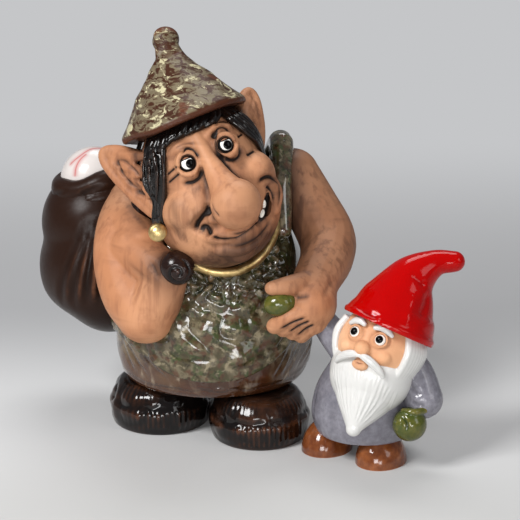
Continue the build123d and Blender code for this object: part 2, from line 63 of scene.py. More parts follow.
trollHead = leaning((1, -40, 143), -15, -23, 9)
gnomeHead = leaning((92.5, -78, 67), -14, 17, -25)


# Modelling helpers
def alone(*chosen):
    if bpy.context.object and bpy.context.object.mode != "OBJECT":
        bpy.ops.object.mode_set(mode="OBJECT")
    bpy.ops.object.select_all(action="DESELECT")
    for piece in chosen:
        piece.select_set(True)
        bpy.context.view_layer.objects.active = piece


def flow(rows, count):
    # a smooth line through all its knots
    rows = np.array(rows, float)
    if len(rows) < 3:
        return rows[0] + (rows[-1] - rows[0]) * np.linspace(0, 1, count)[:, None]
    ends = np.vstack([2 * rows[0] - rows[1], rows, 2 * rows[-1] - rows[-2]])
    t = np.linspace(0, len(rows) - 1, count)
    i = np.minimum(t.astype(int), len(rows) - 2)
    f = (t - i)[:, None]
    a, b, c, d = (ends[i + k] for k in range(4))
    return 0.5 * (2 * b + (c - a) * f + (2 * a - 5 * b + 4 * c - d) * f**2 + (3 * b - a - 3 * c + d) * f**3)


def ball(seat, centre, radii, turn=(0, 0, 0), fine=40):
    alone()
    bpy.ops.mesh.primitive_uv_sphere_add(segments=fine, ring_count=fine // 2, radius=1)
    lump = bpy.context.object
    size = Vector(radii) if hasattr(radii, "__len__") else Vector((radii,) * 3)
    turn = Euler([math.radians(a) for a in turn])
    lump.data.transform(seat @ Matrix.LocRotScale(Vector(centre), turn, size))
    return lump


def rolled(seat, lines, count=24, ends=True):
    # rolled clay: each line is a list of knots (x, y, z, radius), with a ball on each end
    alone()
    bpy.ops.curve.primitive_nurbs_path_add()
    coil = bpy.context.object
    coil.data.splines.clear()
    for knots in lines:
        path = flow(knots, count)
        spline = coil.data.splines.new("POLY")
        spline.points.add(len(path) - 1)
        for knot, (x, y, z, radius) in zip(spline.points, path):
            knot.co = (x, y, z, 1)
            knot.radius = max(radius, 0.05)
    thickest = max(knot[3] for line in lines for knot in line)
    coil.data.bevel_depth = 1
    coil.data.bevel_resolution = 28 if thickest > 18 else 8
    coil.data.use_fill_caps = True
    bpy.ops.object.convert(target="MESH")
    coil = bpy.context.object
    coil.data.transform(seat)
    if ends:
        tips = [knots[end] for knots in lines for end in (0, -1)]
        tips = [ball(seat, tip[:3], tip[3], fine=24 if tip[3] < 12 else 72) for tip in tips]
        alone(*tips, coil)
        bpy.ops.object.join()
    return coil


def drawnUp(seat, stations, count, fine=96):
    # a form drawn up from a disc, ring by ring: stations are (height, radius, x, y)
    alone()
    rings = flow([(*station, 0, 0)[:4] for station in stations], count)
    bpy.ops.mesh.primitive_circle_add(vertices=fine, radius=rings[0][1], fill_type="NGON")
    bpy.ops.object.mode_set(mode="EDIT")
    bpy.ops.mesh.select_all(action="SELECT")
    bpy.ops.transform.translate(value=(rings[0][2], rings[0][3], rings[0][0]))
    for below, above in zip(rings, rings[1:]):
        step = (above[2] - below[2], above[3] - below[3], above[0] - below[0])
        bpy.ops.mesh.extrude_region_move(TRANSFORM_OT_translate={"value": step})
        k = above[1] / below[1]
        bpy.ops.transform.resize(value=(k, k, 1), center_override=(above[2], above[3], above[0]))
    bpy.ops.mesh.select_all(action="SELECT")
    bpy.ops.mesh.normals_make_consistent(inside=False)
    bpy.ops.object.mode_set(mode="OBJECT")
    lump = bpy.context.object
    lump.data.transform(seat @ lump.matrix_basis)
    lump.matrix_basis = Matrix.Identity(4)
    return lump


def lidRing(seat, shape, eye, facing):
    # a ring of clay round an eye
    alone()
    long, short = shape["segments"]
    bpy.ops.mesh.primitive_torus_add(
        major_radius=shape["lid"], minor_radius=shape["lidThick"], major_segments=long, minor_segments=short)
    ring = bpy.context.object
    turn = facing.to_track_quat("Z", "Y").to_matrix().to_4x4()
    ring.data.transform(seat @ Matrix.Translation(Vector(eye) + facing * shape["lidProud"]) @ turn)
    return ring


def smoothed(piece, rounds):
    alone(piece)
    change = piece.modifiers.new("smooth", "SMOOTH")
    change.factor = 0.5
    change.iterations = rounds
    bpy.ops.object.modifier_apply(modifier=change.name)


def fused(name, lumps, voxel, soften):
    # lumps pressed into one skin of even faces, then softened
    alone(*lumps)
    if len(lumps) > 1:
        bpy.ops.object.join()
    piece = bpy.context.object
    piece.name = piece.data.name = name
    piece.data.remesh_voxel_size = voxel * mm
    piece.data.use_remesh_fix_poles = False
    bpy.ops.object.voxel_remesh()
    smoothed(piece, soften)
    return piece


def carved(piece, tools):
    tool = fused("carver", tools, 0.5, 2)
    alone(piece)
    change = piece.modifiers.new("carve", "BOOLEAN")
    change.operation = "DIFFERENCE"
    change.object = tool
    change.solver = "EXACT"
    bpy.ops.object.modifier_apply(modifier=change.name)
    bpy.data.objects.remove(tool)


def levelled(piece):
    # cuts a piece flat where it stands
    alone(piece)
    bpy.ops.object.mode_set(mode="EDIT")
    bpy.ops.mesh.select_all(action="SELECT")
    bpy.ops.mesh.bisect(plane_co=(0, 0, 0), plane_no=(0, 0, 1), use_fill=True, clear_inner=True)
    bpy.ops.object.mode_set(mode="OBJECT")


def ease(x):
    x = np.clip(x, 0, 1)
    return x * x * (3 - 2 * x)


class Clay:
    # a piece under the modelling tool, with its points in millimetres of its seat
    def __init__(self, piece, seat):
        self.piece, self.seat = piece, seat
        mesh = piece.data
        raw = np.empty(len(mesh.vertices) * 3, np.float32)
        mesh.vertices.foreach_get("co", raw)
        back = np.array(seat.inverted())
        self.points = raw.reshape(-1, 3) @ back[:3, :3].T + back[:3, 3]
        self.stainAndShade = np.zeros(len(self.points))
        edges = np.empty(len(mesh.edges) * 2, np.int32)
        mesh.edges.foreach_get("vertices", edges)
        self.edges = edges.reshape(-1, 2)
        self.ties = np.bincount(edges, minlength=len(self.points)).clip(1)
        self.settle()

    def settle(self):
        # writes the points back and takes fresh normals
        mesh, turn = self.piece.data, np.array(self.seat)
        places = self.points @ turn[:3, :3].T + turn[:3, 3]
        mesh.vertices.foreach_set("co", places.astype(np.float32).ravel())
        mesh.update()
        raw = np.empty(len(mesh.vertices) * 3, np.float32)
        mesh.vertex_normals.foreach_get("vector", raw)
        self.normals = raw.reshape(-1, 3) @ turn[:3, :3] / mm
        self.tree = None

    def spread(self, values, rounds):
        # each value drawn towards those beside it
        a, b = self.edges.T
        size = len(values)
        for _ in range(rounds):
            total = [np.bincount(a, column[b], size) + np.bincount(b, column[a], size) for column in values.T]
            values = (values + np.stack(total, 1) / self.ties[:, None]) / 2
        return values

    def laid(self, knots, count, look):
        # a smooth line through the knots, laid on the surface; knots of two numbers are seen from the front
        if self.tree is None:
            faces = [tuple(face.vertices) for face in self.piece.data.polygons]
            self.tree = BVHTree.FromPolygons(self.points.tolist(), faces)
        if len(knots[0]) == 2:
            knots, look = [(x, -120, z) for x, z in knots], ahead
        found = []
        for point in flow(knots, count):
            spot = self.tree.ray_cast(point, look)[0] if look else self.tree.find_nearest(point)[0]
            if spot is not None:
                found.append(spot)
        return np.array(found)

    def stroke(self, knots, width, depth, stainAndShade=0.0, taper=0.35, dark=1.0, look=None, halo=0.55):
        # a groove (depth below nought) or a ridge along a line, with its stain and a soft halo; the stain is
        # ink, wash and, in some calls, painted shade
        span = np.linalg.norm(np.diff(np.array(knots, float), axis=0), axis=1).sum()
        line = self.laid(knots, int(span / max(width * 0.4, 0.3)) + 4, look)
        if not len(line):
            return
        along = np.linspace(0, 1, len(line))
        ends = ease(np.minimum(along, 1 - along) / taper) if taper else np.ones(len(line))
        reach = 5.5 * width if stainAndShade else 2.6 * width * max(dark, 1)
        inside = (self.points > line.min(0) - reach) & (self.points < line.max(0) + reach)
        near = np.nonzero(inside.all(1))[0]
        spots = self.points[near]
        gap = (spots**2).sum(1)[:, None] + (line**2).sum(1)[None] - 2 * spots @ line.T
        best = gap.argmin(1)
        gap = np.maximum(gap[np.arange(len(near)), best], 0)
        self.points[near] += self.normals[near] * (depth * np.exp(-gap / width**2) * ends[best])[:, None]
        if stainAndShade:
            core, soft = np.exp(-gap / (width * dark) ** 2), halo * np.exp(-gap / (3 * width) ** 2)
            self.stainAndShade[near] = np.maximum(self.stainAndShade[near], stainAndShade * np.maximum(core, soft) * ends[best])

    def strokes(self, lines, *sizes, **looks):
        for line in lines:
            self.stroke(line, *sizes, **looks)

    def drawn(self, rows):
        # rows of (line, width, depth, stain and painted shade, taper, dark)
        for row in rows:
            self.stroke(*row)

    def push(self, amount):
        self.points += self.normals * amount[:, None]

    def washAndShade(self, share):
        # darkens by a share: used for the wash, the hat's bare rim and painted shade
        self.stainAndShade = np.maximum(self.stainAndShade, share)

    def swell(self, centre, radius, height, stainAndShade=0.0):
        # a soft lump or dent, or only a soft dark patch, which the calls use as painted shade
        gap = ((self.points - np.array(centre, float)) ** 2).sum(1)
        fall = np.exp(-gap / radius**2)
        self.push(height * fall)
        self.washAndShade(stainAndShade * fall)

    def crumple(self, size, depth, where, seed):
        # pinched, wrinkled clay: sharp creases between soft lumps
        for i in np.nonzero(where > 0.02)[0]:
            spot = Vector(self.points[i]) / size + Vector((seed, 1.7 * seed, 0))
            bends = [noise.noise(spot * 0.7 + Vector(shift)) for shift in ((5, 0, 0), (0, 9, 0))]
            lump = abs(noise.noise(spot + Vector((*bends, 0)) * 0.8)) * 2 - 0.45
            self.points[i] += self.normals[i] * (depth * lump * where[i])

    def fired(self, finish, slot, *nodes, pits=1.0, ridges=1.0, rounds=10):
        # keeps how hollow or proud each spot is: the hollows darken as wash, pooled glaze and painted shade,
        # the ridges take thin glaze
        self.settle()
        mean = self.spread(self.points.copy(), rounds)
        hollow = ((mean - self.points) * self.normals).sum(1)
        hollow = self.spread(hollow[:, None], 2)[:, 0]
        stainAndShade, ridge = self.stainAndShade + np.clip(hollow * pits, 0, 1), np.clip(-hollow * ridges, 0, 1)
        piece = self.piece
        for name, values in (("stainAndShade", stainAndShade), ("ridge", ridge)):
            layer = piece.data.attributes.new(name, "FLOAT", "POINT")
            layer.data.foreach_set("value", np.clip(values, 0, 1).astype(np.float32))
        piece.data.update()
        alone(piece)
        bpy.ops.object.shade_smooth()
        piece.data.materials.clear()
        piece.data.materials.append(finish)
        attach(piece, "root")
        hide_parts(*nodes)
        print("piece", piece.name, len(piece.data.polygons))


def shaped(name, lumps, seat, voxel, soften):
    return Clay(fused(name, lumps, voxel, soften), seat)


# Glazes and washes, with painted shade where the hollows darken
def paint(code):
    parts = [int(code[i:i + 2], 16) / 255 for i in (1, 3, 5)]
    return tuple(p / 12.92 if p <= 0.04045 else ((p + 0.055) / 1.055) ** 2.4 for p in parts) + (1,)


class Value:
    # a socket that takes part in sums
    def __init__(self, finish, socket):
        self.finish, self.socket = finish, socket

    def maths(self, operation, left, right):
        return self.finish.node("ShaderNodeMath", {0: left, 1: right}, operation=operation)

    def __add__(self, other):
        return self.maths("ADD", self, other)

    def __radd__(self, other):
        return self.maths("ADD", other, self)

    def __sub__(self, other):
        return self.maths("SUBTRACT", self, other)

    def __rsub__(self, other):
        return self.maths("SUBTRACT", other, self)

    def __mul__(self, other):
        return self.maths("MULTIPLY", self, other)

    def __rmul__(self, other):
        return self.maths("MULTIPLY", other, self)


class Finish:
    # a glaze or wash, put together from nodes
    def __init__(self, name):
        self.skin = bpy.data.materials.new(name)
        self.skin.use_nodes = True
        self.tree = self.skin.node_tree
        self.shader = self.tree.nodes["Principled BSDF"]
        self.place = self.node("ShaderNodeTexCoord", out="Object")

    def feed(self, socket, value):
        if isinstance(value, Value):
            self.tree.links.new(value.socket, socket)
        else:
            socket.default_value = value

    def node(self, kind, inputs=None, out=0, **settings):
        made = self.tree.nodes.new(kind)
        for key, value in settings.items():
            setattr(made, key, value)
        for key, value in (inputs or {}).items():
            self.feed(made.inputs[key], value)
        return Value(self, made.outputs[out])

    def attribute(self, name):
        return self.node("ShaderNodeAttribute", out="Fac", attribute_name=name)

    def along(self, axis):
        return self.node("ShaderNodeSeparateXYZ", {0: self.place}, out=axis)

    def cloud(self, scale, detail, rough, stretch=(1, 1, 1), warp=0.0, shift=(0, 0, 0)):
        place = self.node("ShaderNodeMapping", {"Vector": self.place, "Scale": stretch, "Location": shift})
        sockets = {"Vector": place, "Scale": scale, "Detail": detail, "Roughness": rough, "Distortion": warp}
        return self.node("ShaderNodeTexNoise", sockets)

    def cells(self, scale):
        return self.node("ShaderNodeTexVoronoi", {"Vector": self.place, "Scale": scale}, out="Distance")

    def band(self, value, low, high, start=0.0, end=1.0):
        sockets = {"Value": value, "From Min": low, "From Max": high, "To Min": start, "To Max": end}
        return self.node("ShaderNodeMapRange", sockets, interpolation_type="SMOOTHSTEP")

    def mix(self, factor, first, second):
        colours = [paint(c) if isinstance(c, str) else c for c in (first, second)]
        return self.node("ShaderNodeMix", {0: factor, 6: colours[0], 7: colours[1]}, out=2, data_type="RGBA")

    def over(self, colour, tone, value, low, high, share=1.0):
        # a tone laid over a colour where a value goes from low to high
        return self.mix(self.band(value, low, high, 0, share), colour, tone)

    def near(self, spot):
        # how far a point of the surface is from a spot, in metres
        return self.node("ShaderNodeVectorMath", {0: self.place, 1: spot}, out="Value", operation="DISTANCE")

    def bump(self, height, depth, strength):
        return self.node("ShaderNodeBump", {"Height": height, "Distance": depth, "Strength": strength})

    def made(self, colour, rough, **others):
        for name, value in {"Base_Color": colour, "Roughness": rough, **others}.items():
            self.feed(self.shader.inputs[name.replace("_", " ")], value)
        return self.skin


# the wash tone darkens the creases and also paints shade
fleshTones = {"light": "#c48e69", "warm": "#b17854", "deep": "#8d5b40", "washAndShade": "#4f3529", "ink": "#1a0f0a"}
gnomeTones = {"light": "#e0b08a", "warm": "#d39c74", "deep": "#b97c58", "washAndShade": "#8a553c", "ink": "#35190f"}


def fleshFinish(name, tone, darkeningShare, brush):
    # bare clay under a thin dark wash that sits in the creases and drags over the rest, partly painted shade
    f = Finish(name)
    stainAndShade, ridge = f.attribute("stainAndShade"), f.attribute("ridge")
    broad = f.cloud(24, 3, 0.5)
    colour = f.mix(f.band(broad, 0.36, 0.66), tone["light"], tone["warm"])
    patch = f.cloud(60, 4, 0.6, shift=(0.3, 0.1, 0))
    colour = f.over(colour, tone["deep"], patch, 0.52, 0.78, 0.5)
    colour = f.over(colour, tone["light"], ridge, 0.1, 0.9, 0.35)
    streak = f.cloud(260, 3, 0.55, stretch=(1, 1, 0.05), warp=0.15)
    cross = f.cloud(240, 3, 0.55, stretch=(0.06, 0.2, 1), warp=0.15, shift=(0.5, 0.2, 0.1))
    where = f.cloud(26, 2, 0.5, shift=(0.8, 0.3, 0.6))
    drag = f.band(streak, 0.45, 0.7) * f.band(where, 0.42, 0.6)
    drag = drag + f.band(cross, 0.45, 0.7) * f.band(where, 0.55, 0.4)
    colour = f.mix(drag * (0.55 * brush), colour, tone["deep"])
    washAndShade = f.node("ShaderNodeClamp", {"Value": stainAndShade * darkeningShare * (1.15 + drag * 0.4)})
    colour = f.mix(washAndShade * 0.9, colour, tone["washAndShade"])
    colour = f.over(colour, tone["ink"], stainAndShade, 0.6, 1.0)
    grain = f.bump(f.cloud(900, 3, 0.6) + streak * 0.6, 0.0002, 0.35)
    return f.made(colour, f.band(patch, 0.3, 0.7, 0.48, 0.6), Normal=grain, Specular_IOR_Level=0.25)


def hatFinish(name):
    # pale glaze crawled into flakes and a fine net over a brown body, bare at the rim
    f = Finish(name)
    squat = (0.7, 0.7, 1.4)
    broad = f.cloud(40, 3, 0.5, warp=0.6)
    net = f.cloud(230, 3, 0.55, squat, 1.0)
    flake = f.cloud(150, 5, 0.62, squat, 0.8, (0.7, 0.1, 0.3))
    edge = f.cloud(300, 4, 0.6, squat, 0.6, (0.1, 0.8, 0.2))
    colour = f.mix(f.band(net, 0.44, 0.54), "#3f2519", "#6f644f")
    colour = f.over(colour, "#5d3424", broad + flake * 0.3, 0.72, 0.78, 0.8)
    colour = f.over(colour, "#bdb592", flake - broad * 0.5, 0.31, 0.36, 0.95)
    colour = f.over(colour, "#43281b", edge, 0.56, 0.62, 0.75)
    # bare brown at the rim, and darker in the hollows as painted shade
    colour = f.mix(f.attribute("stainAndShade"), colour, "#4b2a1c")
    crust = f.bump(net + flake * 0.5, 0.001, 0.5)
    return f.made(colour, f.band(flake, 0.3, 0.75, 0.3, 0.44), Normal=crust, Specular_IOR_Level=0.15)


def tunicFinish(name, chestShare):
    # olive, brown and pale glazes run into each other, darker and greener on the chest
    f = Finish(name)
    stainAndShade, ridge, height = f.attribute("stainAndShade"), f.attribute("ridge"), f.along("Z")
    first = f.cloud(125, 3, 0.5, warp=0.5)
    second = f.cloud(150, 3, 0.5, warp=0.4, shift=(0.3, 0.6, 0.2))
    third = f.cloud(180, 3, 0.5, warp=0.4, shift=(0.7, 0.2, 0.5))
    fine = f.cloud(320, 3, 0.55, shift=(0.1, 0.5, 0.9))
    chest = f.band(height + first * 0.02, 0.094, 0.116)
    wet = f.band(height, 0.066, 0.096, 0.15, 1)
    colour = f.mix(f.band(first, 0.4, 0.6), "#423b26", "#685e49")
    colour = f.over(colour, "#3c4726", second, 0.5, 0.62, 0.85)
    colour = f.over(colour, "#523524", third, 0.52, 0.64, 0.85)
    colour = f.over(colour, "#968a70", third, 0.44, 0.35, 0.6)
    colour = f.mix(chest * chestShare, colour, "#2b2d18")
    colour = f.over(colour, "#231b10", fine + second * 0.3, 0.66, 0.78, 0.6)
    colour = f.over(colour, "#8a6a4a", ridge, 0.2, 0.9, 0.4)
    # darker in the crumples and fold grooves: pooled glaze and painted shade
    colour = f.mix(stainAndShade * 0.75, colour, "#16140c")
    sheen = f.band(fine - wet * 0.3, 0.1, 0.7, 0.05, 0.16)
    return f.made(colour, sheen, Normal=f.bump(first + second * 0.5, 0.0009, 0.3), Coat_Weight=wet)


def trouserFinish(name):
    # streaked glaze that has run down to a dark hem
    f = Finish(name)
    stainAndShade, ridge, height = f.attribute("stainAndShade"), f.attribute("ridge"), f.along("Z")
    run = f.cloud(120, 4, 0.58, (1, 1, 0.3), 0.7)
    broad = f.cloud(34, 3, 0.5, shift=(0.4, 0.2, 0.7))
    fine = f.cloud(300, 4, 0.6, (1, 1, 0.25))
    colour = f.mix(f.band(broad, 0.38, 0.62), "#452513", "#553a22")
    colour = f.over(colour, "#6f5a47", run, 0.5, 0.64, 0.7)
    colour = f.over(colour, "#4d2e1c", fine + run * 0.3, 0.66, 0.8, 0.7)
    colour = f.over(colour, "#a8967d", run + broad * 0.3, 0.74, 0.84, 0.6)
    colour = f.over(colour, "#86654a", ridge, 0.3, 0.9, 0.4)
    mottle = f.cloud(140, 3, 0.55, warp=0.5, shift=(0.2, 0.7, 0.4))
    upper = f.mix(f.band(mottle, 0.42, 0.58), "#3b2e20", "#6a5c48")
    colour = f.over(colour, upper, height + run * 0.012, 0.044, 0.056, 0.85)
    low = f.band(height + run * 0.006, 0.039, 0.032)
    colour = f.mix(low * 0.8, colour, "#472715")
    # darker in the creases and the hem groove: pooled glaze and painted shade
    colour = f.mix(stainAndShade * 0.8, colour, "#1c0f09")
    runs = f.bump(run + fine * 0.3, 0.0007, 0.3)
    return f.made(colour, f.band(fine, 0.3, 0.7, 0.05, 0.11), Normal=runs, Coat_Weight=0.6)


def glazeFinish(name, ground, breaks, pooledGlazeAndShade, rough, breakShare=0.8, scale=90, lift=0.0, shine=0.5,
                grain=0.15, patches=0.45, speckle=None):
    # one glaze, thin on the ridges and pooled in the grooves, whose darker colour is also painted shade
    f = Finish(name)
    broad = f.cloud(scale * 0.4, 4, 0.6, warp=0.5)
    small = f.cloud(scale * 3, 4, 0.6, shift=(0.2, 0.1, 0.6))
    worn = f.band(f.attribute("ridge") + broad * patches + small * grain, 0.42 - lift, 0.95 - lift)
    colour = f.mix(worn * breakShare, ground, breaks)
    colour = f.over(colour, pooledGlazeAndShade, f.attribute("stainAndShade"), 0.05, 0.8)
    if speckle:
        colour = f.over(colour, speckle, f.cells(scale * 8) + small * 0.3, 0.34, 0.22, 0.7)
    skin = f.bump(broad + small * 0.35, 0.0004, 0.4)
    return f.made(colour, f.band(small, 0.3, 0.7, rough, rough + 0.07), Normal=skin, Specular_IOR_Level=shine)


def goldFinish(name):
    f = Finish(name)
    worn = f.cloud(160, 5, 0.65)
    streak = f.cloud(600, 3, 0.6, stretch=(1, 0.3, 1))
    colour = f.mix(f.band(worn, 0.4, 0.7), "#d6bb84", "#a88a56")
    # darker in the hollows, as painted shade
    colour = f.mix(f.attribute("stainAndShade"), colour, "#5a4020")
    skin = f.bump(worn + streak * 0.4, 0.0003, 0.3)
    return f.made(colour, f.band(streak, 0.3, 0.7, 0.34, 0.46), Normal=skin, Metallic=1.0)


def eyeFinish(name, front, pupil, pupilRadius, rimRadius, up=None, lidHeight=0.0):
    # white, a black pupil, a black outline and, where up is given, a lid painted over the top
    f = Finish(name)
    colour = f.mix(f.cloud(300, 2, 0.5), "#f6f4ef", "#e6e1d9")
    wobble = f.cloud(400, 2, 0.5) * 0.0003
    dot = f.band(f.near(pupil) + wobble, (pupilRadius + 0.3) * mm, (pupilRadius - 0.1) * mm)
    colour = f.mix(dot, colour, "#050404")
    if up is not None:
        away = f.node("ShaderNodeVectorMath", {0: f.place, 1: front}, operation="SUBTRACT")
        rise = f.node("ShaderNodeVectorMath", {0: away, 1: up}, out="Value", operation="DOT_PRODUCT")
        colour = f.mix(f.band(rise, (lidHeight - 0.7) * mm, (lidHeight - 0.4) * mm), colour, "#120b09")
        lid = f.mix(f.cloud(200, 3, 0.5), "#a9795f", "#7a5544")
        colour = f.mix(f.band(rise, (lidHeight - 0.1) * mm, (lidHeight + 0.3) * mm), colour, lid)
    wobble = f.cloud(500, 2, 0.5) * 0.0004
    rim = f.band(f.near(front) + wobble, (rimRadius - 0.25) * mm, (rimRadius + 0.3) * mm)
    colour = f.mix(rim, colour, "#0c0807")
    skin = f.bump(f.cloud(250, 2, 0.5), 0.0001, 0.2)
    return f.made(colour, rim * 0.6 + 0.06, Normal=skin, Specular_IOR_Level=0.12)


def stripeFinish(name):
    # pale cloth with red stripes where the stain lies
    f = Finish(name)
    colour = f.mix(f.cloud(40, 3, 0.5), "#d6cfcb", "#c2bab6")
    colour = f.mix(f.attribute("stainAndShade") * 0.85, colour, "#b0302f")
    skin = f.bump(f.cloud(90, 3, 0.5), 0.0004, 0.4)
    return f.made(colour, f.band(f.cloud(200, 3, 0.5), 0.3, 0.7, 0.15, 0.24), Normal=skin)


# ground colour, colour where it breaks over ridges, colour in the grooves (pooled glaze and painted shade)
# and roughness, then what differs
glazes = {
    "hair": ("#0c0807", "#4a3226", "#050403", 0.12, {"breakShare": 0.9, "lift": 0.1, "shine": 0.4}),
    "boot": ("#0d0908", "#57331f", "#060403", 0.08,
             {"scale": 75, "lift": -0.09, "shine": 0.4, "patches": 0.95}),
    "sack": ("#26160f", "#74482f", "#120a07", 0.3, {"scale": 120, "shine": 0.15}),
    "sling": ("#1f110d", "#4f2d20", "#0a0504", 0.16, {"breakShare": 0.7, "scale": 120, "shine": 0.35}),
    "white": ("#cfcecb", "#d9d8d6", "#b2aea9", 0.14, {"breakShare": 0.5}),
    "red": ("#a40000", "#b20100", "#620000", 0.07, {"breakShare": 0.45, "shine": 0.22}),
    "coat": ("#66646c", "#94929b", "#3f3d45", 0.12,
             {"speckle": "#45434c", "scale": 120, "lift": 0.12, "grain": 0.5}),
    "mitten": ("#3d4718", "#857536", "#22280f", 0.08,
               {"breakShare": 0.85, "scale": 110, "lift": 0.06, "grain": 0.4}),
    "gnomeBoot": ("#5a2c16", "#b06a3a", "#2a1309", 0.08, {"breakShare": 0.9, "lift": 0.09, "grain": 0.4}),
    "tooth": ("#efebe0", "#f8f6f0", "#a89c8a", 0.12, {}),
}
finishes = {name: glazeFinish(name + "Glaze", *main, **rest) for name, (*main, rest) in glazes.items()}
finishes["flesh"] = fleshFinish("fleshWash", fleshTones, 1.0, 1.0)
finishes["gnomeFlesh"] = fleshFinish("gnomeFleshWash", gnomeTones, 0.8, 0.1)
finishes["hat"] = hatFinish("hatGlaze")
finishes["tunic"] = tunicFinish("tunicGlaze", 0.7)
finishes["strap"] = tunicFinish("strapGlaze", 0.0)
finishes["trouser"] = trouserFinish("trouserGlaze")
finishes["gold"] = goldFinish("goldLustre")
finishes["stripes"] = stripeFinish("bundleStripes")
print("finishes made")

# Troll's tunic: crumpled on the chest, its hem lowest in front
tunicShape = {
    "stations": (
        (38, 55), (38.4, 58.2), (40, 59.2), (46, 59.7), (54, 59.9), (60, 59.6), (70, 58.5), (80, 56.6),
        (90, 54), (97, 51.9), (106, 48.9), (113, 46.3), (120, 43.8), (127.5, 41.2), (133, 39.4), (140, 37.3),
        (146, 35.6), (152, 33.5), (158, 30), (163, 24.3), (166, 17.2), (167.7, 6),
    ),
    "frontHem": 38, "sideHem": 54.7, "dip": (-59, -38),
    "folds": (
        ((-22, 112), (-15, 104), (-10, 92)), ((-4, 108), (0, 100), (-2, 90)),
        ((10, 110), (14, 102), (12, 92)), ((24, 112), (26, 104), (22, 94)), ((33, 120), (36, 110), (33, 100)),
        ((-27, 96), (-22, 84), (-20, 72)), ((-14, 86), (-8, 80), (2, 78)),
    ),
}
clay = shaped("tunicSkin", [drawnUp(figure, tunicShape["stations"], 60, 128)], figure, 1.0, 4)
x, y, z = clay.points.T
dipFront, dipSide = tunicShape["dip"]
share = (y - dipFront) / (dipSide - dipFront)
rise = ease(share) * 0.35 + np.clip(share, 0, 1) * 0.65
clay.points[:, 2] += rise * (tunicShape["sideHem"] - tunicShape["frontHem"]) * ease((78 - z) / 34)
clay.settle()
front = ease((6 - y) / 20)
chest = ease((z - 80) / 14) * ease((134 - z) / 12) * ease((46 - abs(x)) / 14)
clay.crumple(6, 6.2, front * chest, 0.3)
clay.settle()
clay.crumple(15, 2.0, front * ease((92 - z) / 14) * ease((z - 44) / 8), 2.1)
clay.crumple(22, 2.6, (1 - front) * ease((z - 58) / 10) * ease((160 - z) / 14), 4.2)
clay.settle()
for line in tunicShape["folds"]:
    clay.stroke(line, 2.2, 1.5, taper=0.45)
    clay.stroke([(across + 3.4, up - 1) for across, up in line], 1.8, -1.4, 0.2, taper=0.45)
clay.settle()
smoothed(clay.piece, 2)
Clay(clay.piece, figure).fired(finishes["tunic"], "tunic_glaze", "tunic", pits=0.5, ridges=0.8)

# Trousers: rippled, creased slantwise, with a groove above the hem
trouserShape = {
    "stations": ((27, 47), (27.3, 50.8), (28.6, 52.6), (32, 54.4), (36, 55.6), (41, 56.6), (50, 57.1),
                 (57, 56.8), (59, 53)),
    "ripples": 13, "rippleDepth": 1.3, "creases": 30, "reach": 60, "groove": 31.2,
}
clay = shaped("trouserBand", [drawnUp(figure, trouserShape["stations"], 34, 128)], figure, 1.0, 3)
angle = np.arctan2(clay.points[:, 0], -clay.points[:, 1])
height = clay.points[:, 2]
ripple = np.cos(trouserShape["ripples"] * angle + 2.2 * np.sin(3 * angle) + height * 0.05)
ripple = ripple * (0.55 + 0.45 * np.sin(5 * angle + 1)) - 0.5
clay.push(ripple * trouserShape["rippleDepth"] * ease((height - 31) / 4))
clay.settle()


def onTrousers(t, z):
    return (trouserShape["reach"] * math.sin(t), -trouserShape["reach"] * math.cos(t), z)


for k in range(trouserShape["creases"]):
    t = k * fullTurn / trouserShape["creases"] + 0.1 * math.sin(k * 1.9)
    slant = (-1 if math.sin(t) > 0 else 1) * (0.13 + 0.05 * math.sin(k))
    clay.stroke([onTrousers(t + slant * j, 55 - 7 * j) for j in range(4)], 1.5, -0.9, 0.3, taper=0.4)
    clay.stroke([onTrousers(t + slant * j, 55 - 7 * j + 3) for j in range(4)], 1.6, 0.5, taper=0.4)
for start in np.linspace(0, fullTurn, 19)[:-1]:
    turns = np.linspace(start, start + fullTurn / 18, 5)
    clay.stroke([onTrousers(t, trouserShape["groove"]) for t in turns], 0.8, -0.6, 0.6, taper=0, dark=1.4)
clay.fired(finishes["trouser"], "trouser_glaze", "trousers", ridges=1.4)

strapShape = {
    "line": ((40, -26, 119, 5), (38.5, -18, 135, 6.8), (39, -7, 151.5, 7.1), (39, 4, 163, 7.2),
             (35.5, 17, 153.5, 7), (30, 30, 138, 6.6), (27, 36, 124, 5)),
    "seams": (((45, -20, 134), (45, -8, 152), (45, 4, 164)), ((34, -22, 134), (34, -10, 152), (33, 4, 166))),
}
clay = shaped("shoulderStrap", [rolled(figure, [strapShape["line"]])], figure, 0.7, 4)
clay.strokes(strapShape["seams"], 1.2, -0.7, 0.4)
clay.fired(finishes["strap"], "tunic_glaze", "shoulder_strap", pits=1.2, ridges=1.2)

